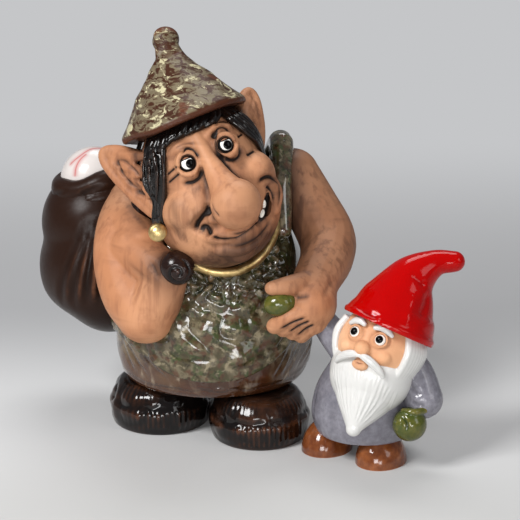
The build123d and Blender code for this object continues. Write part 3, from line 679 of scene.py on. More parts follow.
# Troll's boots: combed, broad in the toe, with a ledge above the sole
bootShape = {
    "stations": ((0, 26), (0.8, 26.8), (5, 27.8), (11, 28), (16, 27.3), (20.5, 25.7), (24, 23.6),
                 (26.2, 20.8), (27, 16)),
    "top": 27, "stretch": 33 / 28, "combs": 62, "combDepth": 0.22, "ledge": 17.5,
    # middle, width and how deep the ledge is cut
    "right": ((-31, -7), 1.05, -0.25), "left": ((26.6, -32), 1.015, -0.6),
}
for side in ("right", "left"):
    (middleX, middleY), width, cut = bootShape[side]
    seat = figure @ Matrix.Translation((middleX, middleY, 0))
    seat = seat @ Matrix.Diagonal((width, bootShape["stretch"], 1, 1))
    clay = shaped(side + "Boot", [drawnUp(seat, bootShape["stations"], 30)], figure, 0.7, 4)
    x, y, z = clay.points.T
    angle = np.arctan2(x - middleX, -(y - middleY))
    comb = np.cos(bootShape["combs"] * angle + 2.5 * np.sin(4 * angle) + z * 0.04)
    low = ease((z - 1) / 3) * ease((15.5 - z) / 3) * (0.5 + 0.5 * np.sin(3 * angle + 1.1))
    high = ease((z - 17) / 4) * ease((27 - z) / 2) * (0.5 + 0.5 * np.sin(4 * angle - 2.2))
    clay.push(comb * bootShape["combDepth"] * (low + 0.5 * high))
    clay.settle()
    for start in np.linspace(-1.7, 1.7, 9)[:-1]:
        ledge = []
        for t in np.linspace(start, start + 3.4 / 8, 5):
            up = bootShape["ledge"] + 1.2 * math.sin(2.3 * t)
            ledge.append((middleX + 32 * math.sin(t), middleY - 37 * math.cos(t), up))
        clay.stroke(ledge, 2.4, cut, taper=0)
        clay.stroke([(a, b, c - 4.6) for a, b, c in ledge], 2.6, 0.4, taper=0)
    clay.crumple(14, 0.8, ease((z - 2) / 4) * ease((26 - z) / 4), 1.3)
    clay.points[:, 2] = np.clip(clay.points[:, 2], 0, bootShape["top"])
    clay.fired(finishes["boot"], "boot_glaze", side + "_boot", pits=1.3, ridges=1.7, rounds=6)
print("body done")

# Troll's head: two balls, then cheeks, chin, lips and brows, then the nose and the lids
skull = {"jawHeight": -5, "jawRadius": 36, "crownHeight": 18, "crownRadius": 34}
eyeShape = {
    "right": (-10.8, -31.2, 20.6), "left": (12, -30.6, 22), "radii": (5.1, 4.7, 5.4),
    "lid": 6.0, "lidThick": 1.5, "lidProud": 1.9, "segments": (48, 16), "lidHeight": 2.5,
    "pupil": 2.7, "rim": 3.6, "rightGlance": (1.5, 0, -0.9), "leftGlance": (0.7, 0, -0.7),
}
faceShape = {
    "rolls": (
        ((-14, -28, -21, 4), (-6, -29.5, -23.5, 4.5), (4, -29.5, -24, 4.5), (11, -28, -22, 4)),
        ((-12, -24, -29, 4), (-3, -25.4, -31.6, 5), (6, -25, -31.2, 5), (13, -23.4, -28.8, 4.6),
         (20, -21, -24.3, 3.8)),
        ((20, -26.6, -4.5, 2.4), (26, -23.4, -3.6, 3), (31.5, -16, -7, 3.4), (31, -16, -14, 3.2),
         (26, -19.4, -21.5, 2.6)),
        ((-19, -25, 28.5, 2.2), (-11, -30, 30.5, 2.8), (-4, -30.5, 29, 2.2)),
        ((4.5, -30.5, 30, 2.2), (11.5, -29.5, 32.5, 2.8), (19, -25, 30.5, 2.2)),
    ),
    "nose": ((0, -28.5, 31, 4), (0.2, -31, 25, 4.5), (0.7, -34.6, 14, 5.7), (1.6, -38.4, 3, 8.3),
             (3.4, -42.2, -9.8, 13.9)),
    "mouth": (
        ((12.6, -30, -24.5, 0.7), (16.5, -29, -22, 1.7), (20.4, -27.6, -18.6, 2.5), (23, -26.6, -14.6, 2.7),
         (25.2, -25.6, -10.4, 1.8)),
        ((14, -25, -24, 1.2), (20.4, -23, -18.6, 3), (24.6, -21.5, -11, 2)),
    ),
}
# places on the face as seen from the front, across and up, then width, depth, stain, taper and dark
faceLines = {
    "smile": (
        # the closed side, its corner and the fold of the cheek
        (((-8.8, -2.6), (-11.4, -7), (-15.7, -9.4), (-19.5, -12.3), (-21.4, -16.4)),
         2.0, -4.0, 1.0, 0.22, 1.1),
        (((-15, -3.5), (-20.5, -7), (-25, -12.5)), 3.4, 1.2, 0, 0.45),
        (((-9.2, -4), (-9.8, -9), (-8.4, -14)), 1.1, -1.6, 0.8, 0.3),
        (((-19.9, -18.4), (-17.7, -15.4), (-15.4, -15.4), (-14.2, -17.8), (-13.1, -20.9)),
         2.3, -3.4, 1.0, 0.25, 1.1),
        (((-17.2, -20.2), (-15.8, -19.8)), 1.3, 1.2, 0, 0.4),
        (((-14, -18.5), (-11.8, -23.7), (-7.5, -26.2), (-2.1, -27.8), (2.8, -27.5), (8.1, -26.2),
          (12.5, -24.5), (16, -22)), 1.5, -2.8, 1.0, 0.1, 1.1),
        (((-9.8, -27.2), (-3.1, -30.8), (4.6, -31.6), (11.2, -30.4), (18.8, -26.6), (25, -21.2)),
         1.9, -1.9, 0.8, 0.3, 1.3),
        # the open side
        (((12.6, -24.5), (16.4, -21.8), (20.2, -18.4), (22.8, -14.3), (25, -10.4)),
         2.4, -0.6, 1.0, 0.08, 1.3),
        (((20, -4.4), (23.8, -3.2), (29, -3.2), (33.2, -5.8), (34.4, -10.2), (31, -17), (26, -22.6)),
         1.7, -2.6, 0.95, 0.25, 1.2),
        (((23.7, -9), (26.8, -8.6), (28, -12.6), (26.2, -18.1)), 1.4, -1.9, 0.95, 0.3, 1.2),
        (((22.6, 3.5), (28, 2), (32.4, -1.4)), 3.2, 1.0, 0, 0.45),
    ),
    "lids": (
        # lid, fold above it and bag below it, right and left
        (((-13.6, 24.6), (-9.8, 27.9), (-6.4, 27.4), (-4.5, 23.6), (-4.7, 18.9)), 0.9, -1.1, 0.8, 0.25, 1.2),
        (((8.2, 27.2), (11.5, 30.9), (15, 31.2), (17.4, 28.9), (17.6, 25)), 0.9, -1.1, 0.8, 0.25, 1.2),
        (((-16.4, 29), (-11.9, 31), (-8.2, 31.4), (-4.6, 30.2), (-3.1, 27.1)), 1.2, -1.0, 0.55, 0.25, 1.2),
        (((10.7, 32.6), (13.4, 34.8), (17.9, 35.2), (20.4, 32.1), (21.9, 27.1)), 1.2, -1.0, 0.6, 0.25, 1.2),
        (((-4.4, 15.5), (-6.5, 12.6), (-8.2, 11), (-11.8, 10.3), (-15.4, 11), (-18.5, 10.4)),
         1.3, -1.7, 0.85, 0.25, 1.2),
        (((7.4, 17.4), (10.2, 14.2), (13.9, 12.8), (17.6, 13.4), (19.8, 16.4), (19.6, 21.4)),
         1.3, -1.7, 0.85, 0.25, 1.2),
    ),
    "corners": (
        (((-6, 14.6), (-10, 12.6), (-15, 13)), 2.2, 0.9, 0, 0.4),
        (((9.5, 15.4), (13.5, 14.6), (18, 16.8)), 2.2, 0.9, 0, 0.4),
        (((-22.9, 19.4), (-17, 21.4)), 0.75, -0.9, 0.95, 0.15, 1.2),
        (((-24, 15), (-16.6, 17.5)), 0.75, -0.9, 0.95, 0.15, 1.2),
        (((21.2, 23.4), (25.6, 24.4)), 0.75, -0.9, 0.95, 0.15, 1.2),
        (((21.6, 12.4), (28.4, 13.6)), 0.75, -0.9, 0.95, 0.15, 1.2),
    ),
    "nose": (
        (((-4.4, 20), (-5.6, 11), (-8.2, 1), (-10.8, -7), (-10.4, -15), (-7, -21)),
         2.4, -1.3, 0.55, 0.25, 1.3),
        (((-10.4, -5), (-11.4, -10), (-9.8, -16.5)), 1.1, -1.5, 0.9, 0.3, 1.3),
        (((11.9, 33.9), (9.2, 30.4), (7.2, 24.5), (7, 18), (9, 10.6), (11.9, 3), (16.4, -4.4), (17.6, -11),
          (15.2, -18)), 1.7, -1.5, 0.85, 0.2, 1.2),
        (((-6.5, -22), (-1, -25), (5, -25.6), (11.5, -23.6)), 1.0, -1.0, 0.8, 0.4, 1.4),
    ),
    "washAndShade": (
        # painted shadow of the hair along the hairline, then wash and painted shade on the cheeks, chin,
        # under the eyes and over the lids
        (((-28.5, 4), (-25.5, 14), (-22.5, 24), (-17, 31), (-10, 34), (0, 36), (8, 36.6), (13.6, 39.6)),
         3.0, 0, 0.62, 0.1),
        (((17.6, 40.6), (20, 34), (23, 27.6), (29, 20), (32.6, 14)), 3.0, 0, 0.62, 0.1),
        (((-29, 2), (-29, -10), (-24, -22)), 5, 0, 0.5, 0.4),
        (((24, -24), (31, -14), (33, -4)), 4, 0, 0.5, 0.4),
        (((-8, -31), (2, -35), (14, -33)), 4.5, 0, 0.5, 0.4),
        (((-17, 7), (-11, 6), (-6, 8)), 3.5, 0, 0.45, 0.4),
        (((10, 9), (16, 8.4), (22, 9)), 3.5, 0, 0.45, 0.4),
        (((-25, 10), (-27, 0), (-29, -12)), 3.5, 0, 0.55, 0.4),
        (((-15, 28), (-9.6, 29.6), (-4.4, 27.6)), 1.8, 0, 0.55, 0.4),
        (((9, 30), (14.4, 33), (19.4, 30)), 1.8, 0, 0.55, 0.4),
    ),
}
lumps = [
    ball(trollHead, (0, 0, skull["jawHeight"]), skull["jawRadius"], fine=64),
    ball(trollHead, (0, 0, skull["crownHeight"]), skull["crownRadius"], fine=64),
    ball(trollHead, (-17, -14.5, -2), (16.5, 17.5, 14.5)),
    ball(trollHead, (21, -13.5, 2), (14.5, 16, 14.5)),
    ball(trollHead, (0, -14, -30), 11),
]
lumps += [rolled(trollHead, [line]) for line in faceShape["rolls"]]
lumps = [fused("faceBase", lumps, 0.8, 16), rolled(trollHead, [faceShape["nose"]])]
lumps.append(ball(trollHead, (-8.6, -34.2, -11.5), (4.8, 4.6, 4.8)))
for side in ("right", "left"):
    x, y, z = eyeShape[side]
    facing = Vector((x * 0.45, y, 1.5)).normalized()
    lumps.append(lidRing(trollHead, eyeShape, (x, y, z), facing))
    hood = []
    for t in np.radians(np.linspace(5, 175, 7)):
        up = math.sin(t)
        hood.append((x + 5.4 * math.cos(t), y - 3.0 - 0.5 * up, z + 0.5 + 5.2 * up, 1.3 + 0.4 * up))
    lumps.append(rolled(trollHead, [hood]))
face = fused("trollFace", lumps, 0.6, 7)
carved(face, [rolled(trollHead, [line]) for line in faceShape["mouth"]])
clay = shaped("trollFace", [face], trollHead, 0.6, 2)
clay.drawn(faceLines["smile"])
clay.drawn(faceLines["lids"])
for side in ("right", "left"):
    x, y, z = eyeShape[side]
    outline = [(x + 4.2 * math.cos(t), z + 4.4 * math.sin(t)) for t in np.radians(np.linspace(0, 360, 25))]
    clay.stroke(outline, 0.8, 0, 1.0, taper=0, dark=1.1, halo=0.3)
clay.drawn(faceLines["corners"])
clay.drawn(faceLines["nose"])
clay.drawn(faceLines["washAndShade"])
x, y, z = clay.points.T
# painted shade under the chin and jaw, on the sides of the head turned away, over the lit nose bulb and above
# the left eye
clay.washAndShade(0.74 * ease((-19.5 - z - 0.12 * abs(x - 2)) / 12))
clay.washAndShade(0.5 * ease((y + 15) / 14))
clay.swell((4, -50, -11), 15, 0, 0.24)
clay.swell((13, -34, 31.5), 5, 0, 0.5)
clay.fired(finishes["flesh"], "flesh", "head", "nose", pits=0.7, ridges=0.8)

headUp = (trollHead.to_3x3() @ Vector((0, 0, 1))).normalized()
for side in ("right", "left"):
    name, eye = side + "Eye", Vector(eyeShape[side])
    clay = shaped(name, [ball(trollHead, eye, eyeShape["radii"], fine=64)], trollHead, 0.3, 3)
    facing = Vector((eyeShape[side][0] * 0.3, eyeShape[side][1], 1)).normalized()
    front = eye + facing * eyeShape["radii"][1]
    pupil = front + Vector(eyeShape[side + "Glance"])
    finish = eyeFinish(name + "Glaze", trollHead @ front, trollHead @ pupil, eyeShape["pupil"],
                       eyeShape["rim"], headUp, eyeShape["lidHeight"])
    clay.fired(finish, "eye_glaze", side + "_eye", pits=0, ridges=0)

teethShape = {"radii": (1.4, 1.4, 2.4), "upper": ((19.8, -27, -15.6), 25), "lower": ((16.8, -27.8, -20), 38)}
teeth = []
for tooth in ("upper", "lower"):
    middle, turn = teethShape[tooth]
    teeth.append(ball(trollHead, middle, teethShape["radii"], (0, turn, 0)))
clay = shaped("smileTeeth", teeth, trollHead, 0.35, 3)
clay.fired(finishes["tooth"], "tooth_glaze", "teeth")

# Hat: a leaning cone with a bare rim and a knob, its brim lifted at the viewer's left
hatShape = {
    "stations": ((42, 36.6), (43, 37.5), (46, 37), (52, 31.8), (58.5, 26.6), (65, 22), (70, 17.6), (75.5, 13),
                 (81, 9), (86, 6.7)),
    "neck": (89, 6.2, 9.5, 5.7), "knob": (10, 6, 90.5), "knobRadii": (7.5, 7.3, 7.1), "flop": 1.3,
    "lift": 3, "drop": 1.2, "drawIn": 2.6, "dents": 60, "dentSize": 3.2, "dentDepth": 0.45,
    "crease": ((2, -3, 84), (6, -4, 82), (12, -2, 81), (17, 4, 82)), "rim": 45.6,
}


def hatMiddle(z):
    drift = max((z - 45) / 45.5, 0) ** hatShape["flop"]
    return hatShape["knob"][0] * drift, hatShape["knob"][1] * drift


stations = [(height, radius, *hatMiddle(height)) for height, radius in hatShape["stations"]]
stations.append(hatShape["neck"])
cone = drawnUp(trollHead, stations, 36)
knob = ball(trollHead, hatShape["knob"], hatShape["knobRadii"])
clay = shaped("trollHat", [cone, knob], trollHead, 0.7, 7)
x, y, z = clay.points.T
brim = ease((62 - z) / 14)
lifted = ease((-x - 18) / 18) * brim
clay.points[:, 2] += hatShape["lift"] * lifted - hatShape["drop"] * ease((x - 20) / 16) * brim
clay.points[:, 0] += hatShape["drawIn"] * lifted
clay.settle()
turn = np.arctan2(x, -y)
wave = 0.9 * np.sin(3 * turn + z * 0.09) + 0.5 * np.sin(7 * turn - z * 0.2)
clay.push(wave * 0.5 * ease((z - 46) / 10))
heights, radii = [station[0] for station in stations], [station[1] for station in stations]
for k in range(hatShape["dents"]):
    a, up = k * 2.39996, 47 + 36 * (k / hatShape["dents"]) ** 1.3
    reach = np.interp(up, heights, radii)
    across, back = hatMiddle(up)
    spot = (across + reach * math.sin(a), back - reach * math.cos(a), up)
    clay.swell(spot, hatShape["dentSize"], hatShape["dentDepth"] * (-1) ** k)
clay.stroke(hatShape["crease"], 1.6, -0.7, 0.4)
rim = hatShape["rim"] + hatShape["lift"] * ease((-x - 18) / 18) - hatShape["drop"] * ease((x - 20) / 16)
clay.washAndShade(ease((rim - z) / 1.2))
clay.fired(finishes["hat"], "hat_glaze", "hat")

# Hair: combed strands from under the brim
hairShape = {"fringe": 22, "side": 7, "lock": 8, "back": 30, "strand": 1.9}
strand = hairShape["strand"]


def around(turn, z, proud):
    # a point on the head: turn in degrees from the front, plus to the viewer's right
    jaw = skull["jawRadius"] ** 2 - (z - skull["jawHeight"]) ** 2
    crown = skull["crownRadius"] ** 2 - (z - skull["crownHeight"]) ** 2
    reach = math.sqrt(max(jaw, crown, 0)) + proud
    return (reach * math.sin(math.radians(turn)), -reach * math.cos(math.radians(turn)), z)


def combed(*rows):
    # a strand: each row is its turn, height, how proud it stands and its thickness
    return [(*around(turn, z, proud), thick) for turn, z, proud, thick in rows]


lines = []
for k in range(hairShape["fringe"]):
    a = 46 - 4.4 * k
    dip, sway, lift = max(-a - 5, 0) * 0.17, 1.6 * math.sin(k * 2.4), 0.9 * math.sin(k * 3.9)
    lines.append(combed(
        (a + 5, 44, 0.4, strand),
        (a - 5 + sway, 41.2 - dip * 0.3, 1.5 + lift, strand * 1.2),
        (a - 14 + sway, 38.2 - dip * 0.9 + 0.6 * sway, 1.7 + lift, strand * 1.05),
        (a - 22, 36 - dip * 1.4, 1.2 + lift * 0.5, strand * 0.7),
        (a - 27 - sway, 34.9 - dip * 1.7, 0.2, 0.5)))
for k in range(hairShape["side"]):
    a = 47 + 7 * k
    lines.append(combed((a - 3, 44, 0.5, strand), (a, 40, 1.8, strand), (a + 2, 36, 1.5, strand * 0.8)))
clay = shaped("fringeHair", [rolled(trollHead, lines, 16, ends=False)], trollHead, 0.42, 1)
clay.fired(finishes["hair"], "black_hair", "fringe", pits=1.8, ridges=2.0, rounds=5)

lines, grooves = [], []
for k in range(hairShape["lock"]):
    sway, lift = 2.2 * math.sin(k * 2.1), 1.2 * math.sin(k * 3.7)
    lines.append(combed(
        (-36 - 3.6 * k, 42, 0.8, strand),
        (-37 - 3.4 * k + sway, 33, 1.8 + lift, strand * 1.05),
        (-43 - 3.1 * k - sway, 21, 2.0 + lift, strand),
        (-55 - 2.4 * k + sway, 9, 1.9 + lift, strand * 0.95),
        (-64 - 1.9 * k - sway, 0, 1.6, strand * 0.85),
        (-69 - 1.6 * k, -7 + (k % 3) * 1.2, 0.8, strand * 0.6)))
    grooves.append((
        around(-36 - 3.6 * k, 38, 4), around(-43 - 3.1 * k + 2 * math.sin(k * 1.7), 21, 4),
        around(-56 - 2.4 * k, 9, 4), around(-66 - 1.9 * k, -1, 4)))
clay = shaped("rightLock", [rolled(trollHead, lines, 20, ends=False)], trollHead, 0.42, 1)
clay.strokes(grooves, 0.8, -1.3, 0.3, taper=0.1)
clay.fired(finishes["hair"], "black_hair", "right_lock", pits=1.8, ridges=2.0, rounds=5)

lines = []
for k in range(hairShape["lock"]):
    sway = 1.5 * math.sin(k * 2.3)
    lines.append(combed(
        (47 + 6 * k, 42, 0.8, strand),
        (43 + 7 * k + sway, 34, 2.0, strand * 1.05),
        (48 + 6.6 * k - sway, 26, 2.1, strand * 0.95),
        (61 + 4.8 * k + sway, 17, 1.8, strand * 0.75),
        (78 + 2.8 * k, 8 - (k % 3), 0.6, 0.6)))
clay = shaped("leftLock", [rolled(trollHead, lines, 20, ends=False)], trollHead, 0.42, 1)
clay.fired(finishes["hair"], "black_hair", "left_lock", pits=1.8, ridges=2.0, rounds=5)

lines = []
for k in range(hairShape["back"]):
    a = 104 + 152 * k / (hairShape["back"] - 1)
    sway = 4 * math.sin(k * 1.7)
    lines.append(combed(
        (a, 43, 0.6, 3), (a + sway * 0.4, 30, 2.4, 3.1), (a + sway, 14, 2.2, 3),
        (a + sway * 1.3, -2 - 3 * math.sin(k * 2.3), 0.6, 1.2)))
clay = shaped("backHair", [rolled(trollHead, lines, 16, ends=False)], trollHead, 0.6, 2)
clay.fired(finishes["hair"], "black_hair", "hair", pits=1.6, ridges=2.0, rounds=5)
print("head done")

# Ears: a pointed leaf with a thick rim and a dished front
earShape = {
    "rim": 3.1, "plate": 2.2, "knob": (2.6, 2.4, 4.2), "fold": (35, 38.4, 41.6, 41.6, 38, 35.2, 34.6),
    "rightRim": ((31.5, -7, -4), (36, -3, 5), (41, 3, 17), (45, 8.5, 30), (47, 12.5, 40.5), (45.4, 12.8, 46),
                 (40, 9.5, 44.8), (34, 4, 40.5), (28.5, -1.5, 36)),
    "leftRim": ((30.5, -5, 10), (34.6, -1.5, 15.5), (39.4, 4, 23.5), (43, 9, 33), (44.8, 12, 41),
                (43.6, 12.6, 46), (39.4, 9.5, 44.8), (33.8, 4, 40.5), (28.5, -1.5, 36)),
    "rightRoot": ((30, -12, 0), (30.5, -12, 12), (29.5, -12, 24), (27.5, -10, 34)),
    "leftRoot": ((29.5, -10, 14), (30, -11, 20), (29, -11, 27), (27.5, -9, 33)),
    "rightWash": 0.16, "leftWash": 0.3,
}
for name, side in (("right", -1), ("left", 1)):
    rim, plate = earShape[name + "Rim"], earShape["plate"]
    thick = [earShape["rim"] * share for share in (0.8, 1, 1, 1, 1, 1, 1, 1, 0.8)]
    lines = [[(side * x, y, z, radius) for (x, y, z), radius in zip(rim, thick)]]
    for i, (x, y, z) in enumerate(earShape[name + "Root"]):
        for end in rim[1 + i:4 + i]:
            lines.append([(side * x, y + 1, z, plate), (side * end[0], end[1] + 0.6, end[2], plate)])
    low, high = rim[0][2], rim[5][2]
    up = [low + (high - low) * share for share in (0.24, 0.44, 0.66, 0.84, 0.8, 0.6, 0.42)]
    knob = ball(trollHead, (side * 34, -7, low + (high - low) * 0.42), earShape["knob"])
    clay = shaped(name + "Ear", [rolled(trollHead, lines, 26), knob], trollHead, 0.6, 14)
    if name == "right":
        fold = [(side * x, -20, z) for x, z in zip(earShape["fold"], up)]
        clay.stroke(fold, 1.3, -1.3, 0.55, taper=0.2, dark=1.2, look=ahead)
    dish = [(side * 36, -20, up[0] + 3), (side * 37.6, -20, up[1]), (side * 38.4, -20, up[2])]
    clay.stroke(dish, 2.2, -1.6, 0.65, taper=0.4, look=ahead)
    clay.stroke([(side * x, y - 8, z) for x, y, z in rim[1:6]], 1.4, 0.5, taper=0.3)
    # darker toward the root against the head and all over, more on the left ear: partly wash, partly painted
    # shade
    clay.washAndShade(0.5 * ease((36 - abs(clay.points[:, 0])) / 4) + earShape[name + "Wash"])
    clay.fired(finishes["flesh"], "flesh", name + "_ear", pits=0.9, ridges=0.8)

# Jewellery
ringShape = {
    "thick": 2.8,
    "line": ((-9.8, -51, 106), (1.4, -53, 102.4), (14.7, -51.2, 102.4), (26.4, -44.5, 107.6),
             (34, -34, 116.6), (36.6, -23.5, 127.5)),
}
hoop = [(*spot, ringShape["thick"]) for spot in ringShape["line"]]
clay = shaped("neckRing", [rolled(figure, [hoop], 80)], figure, 0.45, 3)
clay.fired(finishes["gold"], "gold_lustre", "neck_ring")

dropShape = {"towards": (-35, -15, -12), "shift": (-1.2, 0, 5.2), "gap": 0.2, "disc": (5.2, 5.2, 2.6),
             "boss": (4.4, 4.4, 3.2), "facing": (0, -0.96, 0.28)}
jaw = Vector((0, 0, skull["jawHeight"]))
outward = (Vector(dropShape["towards"]) - jaw).normalized()
reach = skull["jawRadius"] + dropShape["gap"] + dropShape["disc"][0]
drop = jaw + outward * reach + Vector(dropShape["shift"])
facing = (trollHead.to_3x3().inverted() @ Vector(dropShape["facing"])).to_track_quat("Z", "Y").to_euler()
facing = [math.degrees(a) for a in facing]
lumps = [ball(trollHead, drop, dropShape[part], facing, 48) for part in ("disc", "boss")]
clay = shaped("earringDrop", lumps, trollHead, 0.35, 2)
clay.fired(finishes["gold"], "gold_lustre", "earring", pits=1.5)

# Right arm: bent up to the knot of the sling, its crook filled
rightArmShape = {
    "upper": ((-46, 2, 128, 14.5), (-50, -12, 118, 16.2), (-51, -28, 103, 16.6), (-46, -40, 87, 17),
              (-37, -48, 76.5, 17)),
    "fore": ((-37, -48, 76.5, 16.5), (-31, -51.5, 86, 15), (-26, -55, 97, 12.6), (-25, -56, 101, 12)),
    "crook": ((-44, -36, 111, 13), (-36, -45, 107, 12.8), (-25, -56, 101.5, 12)),
    "shoulder": ((-48, -6, 123, 13.5), (-46, -22, 120, 12.5), (-38, -38, 114, 11.5)),
}
clay = shaped("rightArm", [rolled(figure, list(rightArmShape.values()))], figure, 0.8, 22)
# the crook's creases, darkened as wash and as painted shade
crease = ((-36, -80, 113), (-31, -80, 107), (-28, -80, 100))
clay.stroke(crease, 2.0, -1.2, 0.55, dark=1.6, look=ahead)
crease = ((-50, -80, 113), (-44, -80, 105), (-36, -80, 101), (-30, -80, 99))
clay.stroke(crease, 2.6, -1.1, 0.4, taper=0.45, dark=1.6, look=ahead)
# painted shadow round the knot, then painted shade along the jaw, on the lower inner side by the body and on
# the back of the arm
clay.swell((-23, -62, 108), 15, 0, 0.95)
clay.stroke(((-50, -18, 136), (-42, -34, 131), (-34, -46, 122)), 3, 0, 0.6, taper=0.2)
x, y, z = clay.points.T
clay.washAndShade(0.5 * ease((-26 - x) / -10) * ease((100 - z) / 12))
clay.washAndShade(0.4 * ease((y + 34) / 26))
clay.fired(finishes["flesh"], "flesh", "right_arm", pits=0.5, ridges=0.5, rounds=14)

# Left arm and its hand, closed round the gnome's mitten
leftArmShape = {
    "arm": ((46, 3, 144.5, 15), (56, -6, 128, 15.8), (65, -16, 112, 16.5), (64.5, -30, 103, 15.2),
            (58, -47, 94, 13.3), (55.5, -58, 85, 14.3)),
    "thumb": ((58, -49, 94.5, 8.5), (47, -60.5, 96.6, 6.8), (40, -65, 97.4, 5.2), (33.5, -67, 97, 4)),
    "fingers": 4, "knuckles": ((52, -66, 83), (59, -62, 76)), "tips": ((35, -65, 74.5), (50, -61, 68)),
    "thick": (5.8, 6, 5.3, 4.6),
}
lines, slits = [leftArmShape["arm"], leftArmShape["thumb"]], []
steps = 2 * leftArmShape["fingers"] - 1
for k in range(steps):
    knuckle, tip = (Vector(first).lerp(Vector(last), k / (steps - 1))
                    for first, last in (leftArmShape["knuckles"], leftArmShape["tips"]))
    bend = knuckle.lerp(tip, 0.5) + Vector((-0.5, -2, 1))
    if k % 2:
        slits.append([tuple(spot + Vector((0, -30, 0))) for spot in (knuckle, bend, tip)])
    else:
        spots = (knuckle + Vector((3, 4, 3)), knuckle, bend, tip)
        lines.append([(*spot, thick) for spot, thick in zip(spots, leftArmShape["thick"])])
clay = shaped("leftArm", [rolled(figure, lines)], figure, 0.65, 9)
clay.strokes(slits, 0.8, -1.2, 0.95, taper=0.2, dark=1.3, look=ahead)
clay.stroke(((56, -90, 94), (50, -90, 92.5), (44, -90, 91)), 1.6, -0.9, 0.7, dark=1.6, look=ahead)
clay.stroke(((70, -70, 99), (65, -80, 96), (61, -80, 91)), 2.2, -0.7, 0.35, dark=1.5, look=ahead)
# painted shade: the arm is darkened all over, more on its upper part and most on the inner side beside the
# body
x, y, z = clay.points.T
besideBodyShade = ease((58 - x) / 14) * ease((z - 100) / 12)
clay.washAndShade(0.12 + 0.36 * ease((z - 90) / 20) + 0.3 * besideBodyShade)
clay.fired(finishes["flesh"], "flesh", "left_arm", "left_hand", pits=0.6, ridges=0.5)
print("arms done")

# Sack: its folds fan out from the hand side of the neck and die away round the back
sackShape = {
    "line": ((-63, 27, 84, 40.5), (-65.6, 27, 98, 38.2), (-68.6, 27, 110, 33)), "lean": (0.189, 0.982),
    "top": ((-70, 27, 121), (25, 25, 12)), "folds": 4, "depth": 2.4, "farFolds": (40, 75, 110, 140),
}
sackTop, sackTopRadii = sackShape["top"]
lumps = [rolled(figure, [sackShape["line"]]), ball(figure, sackTop, sackTopRadii, fine=72)]
clay = shaped("sackBag", lumps, figure, 0.9, 26)
x, y, z = clay.points.T
clay.points[:, 0] += 5 * ease((72 - z) / 26) * ease((-70 - x) / 24)
clay.points[:, 2] += 3 * ease((66 - z) / 22) * ease((-62 - x) / 24)
clay.settle()


def onSack(*rows):
    # rows of a turn in degrees from the way to the body, then out from the sack's axis and up it
    foot = Vector(sackShape["line"][0][:3])
    slope, rise = sackShape["lean"]
    spots = []
    for turn, out, up in rows:
        a = math.radians(turn)
        way = Vector((rise * math.cos(a), math.sin(a), slope * math.cos(a)))
        spots.append(foot + way * out + Vector((-slope, 0, rise)) * up)
    return spots


for k in range(sackShape["folds"]):
    a, b, c, d = 6 * k, 9 * k, 12 * k, 14 * k
    depth = sackShape["depth"] * (1 - k / 5)
    groove = onSack((286 - a, 28, 40), (279 - b, 35, 26), (270 - c, 41, 5), (262 - d, 41, -18))
    clay.stroke(groove, 2.7, -depth, 0.3, taper=0.25, dark=1.1)
    ridge = onSack((281 - a, 29, 39), (273 - b, 36, 24), (264 - c, 41, 3), (255 - d, 41, -16))
    clay.stroke(ridge, 3.4, depth * 0.5, taper=0.35)
for turn in sackShape["farFolds"]:
    clay.stroke(onSack((turn, 28, 40), (turn + 3, 36, 22), (turn + 8, 41, -6)), 3, -1.6, 0.2, taper=0.3)
clay.fired(finishes["sack"], "sack_glaze", "sack", pits=0.6, ridges=1.2)

# Rolled mouth of the sack: two wavy rings, one on the other
rollShape = {"radius": 19.5, "lowRadius": 22, "creases": (-1.3, -0.5, 0.4, 1.2, 2.2, 3.3, 4.2)}
lines = [[], []]
for t in np.linspace(0, fullTurn, 25):
    wide, low = rollShape["radius"], rollShape["lowRadius"]
    lines[0].append((-70 + wide * math.sin(t), 27 - wide * math.cos(t),
                     136 + 5 * math.sin(t) + 0.8 * math.sin(3 * t), 6.5 + 0.5 * math.sin(5 * t)))
    lines[1].append((-69.5 + low * math.sin(t), 27 - low * math.cos(t), 129 + 4 * math.sin(t),
                     5 + 0.4 * math.sin(4 * t)))
clay = shaped("sackRoll", [rolled(figure, lines, 72)], figure, 0.7, 6)
for start in rollShape["creases"]:
    crease = []
    for turn, up in ((0, -3), (0.35, 3), (0.8, 7)):
        t = start + turn
        crease.append((-70 + 27 * math.sin(t), 27 - 27 * math.cos(t), 131 + 5 * math.sin(t) + up))
    clay.stroke(crease, 1.8, -0.9, 0.3, taper=0.4)
clay.fired(finishes["sack"], "sack_glaze", "sack_roll", pits=0.8, ridges=1.4)

bundleShape = {
    "middle": (-70, 27, 135), "radii": (20, 18, 20),
    "stripes": (
        ((-80.2, 12.2, 139.9), (-79.7, 14.3, 145.4), (-77.5, 16.7, 149.6), (-73, 19.7, 153)),
        ((-84.5, 18.5, 145), (-77.6, 19.3, 151.3), (-70.9, 23.5, 154.5), (-64, 26, 154.5)),
    ),
}
bundle = ball(figure, bundleShape["middle"], bundleShape["radii"], fine=64)
clay = shaped("bundleCloth", [bundle], figure, 0.42, 3)
clay.strokes(bundleShape["stripes"], 0.6, 0, 1.0, taper=0.1)
clay.fired(finishes["stripes"], "bundle_glaze", "bundle", pits=0)

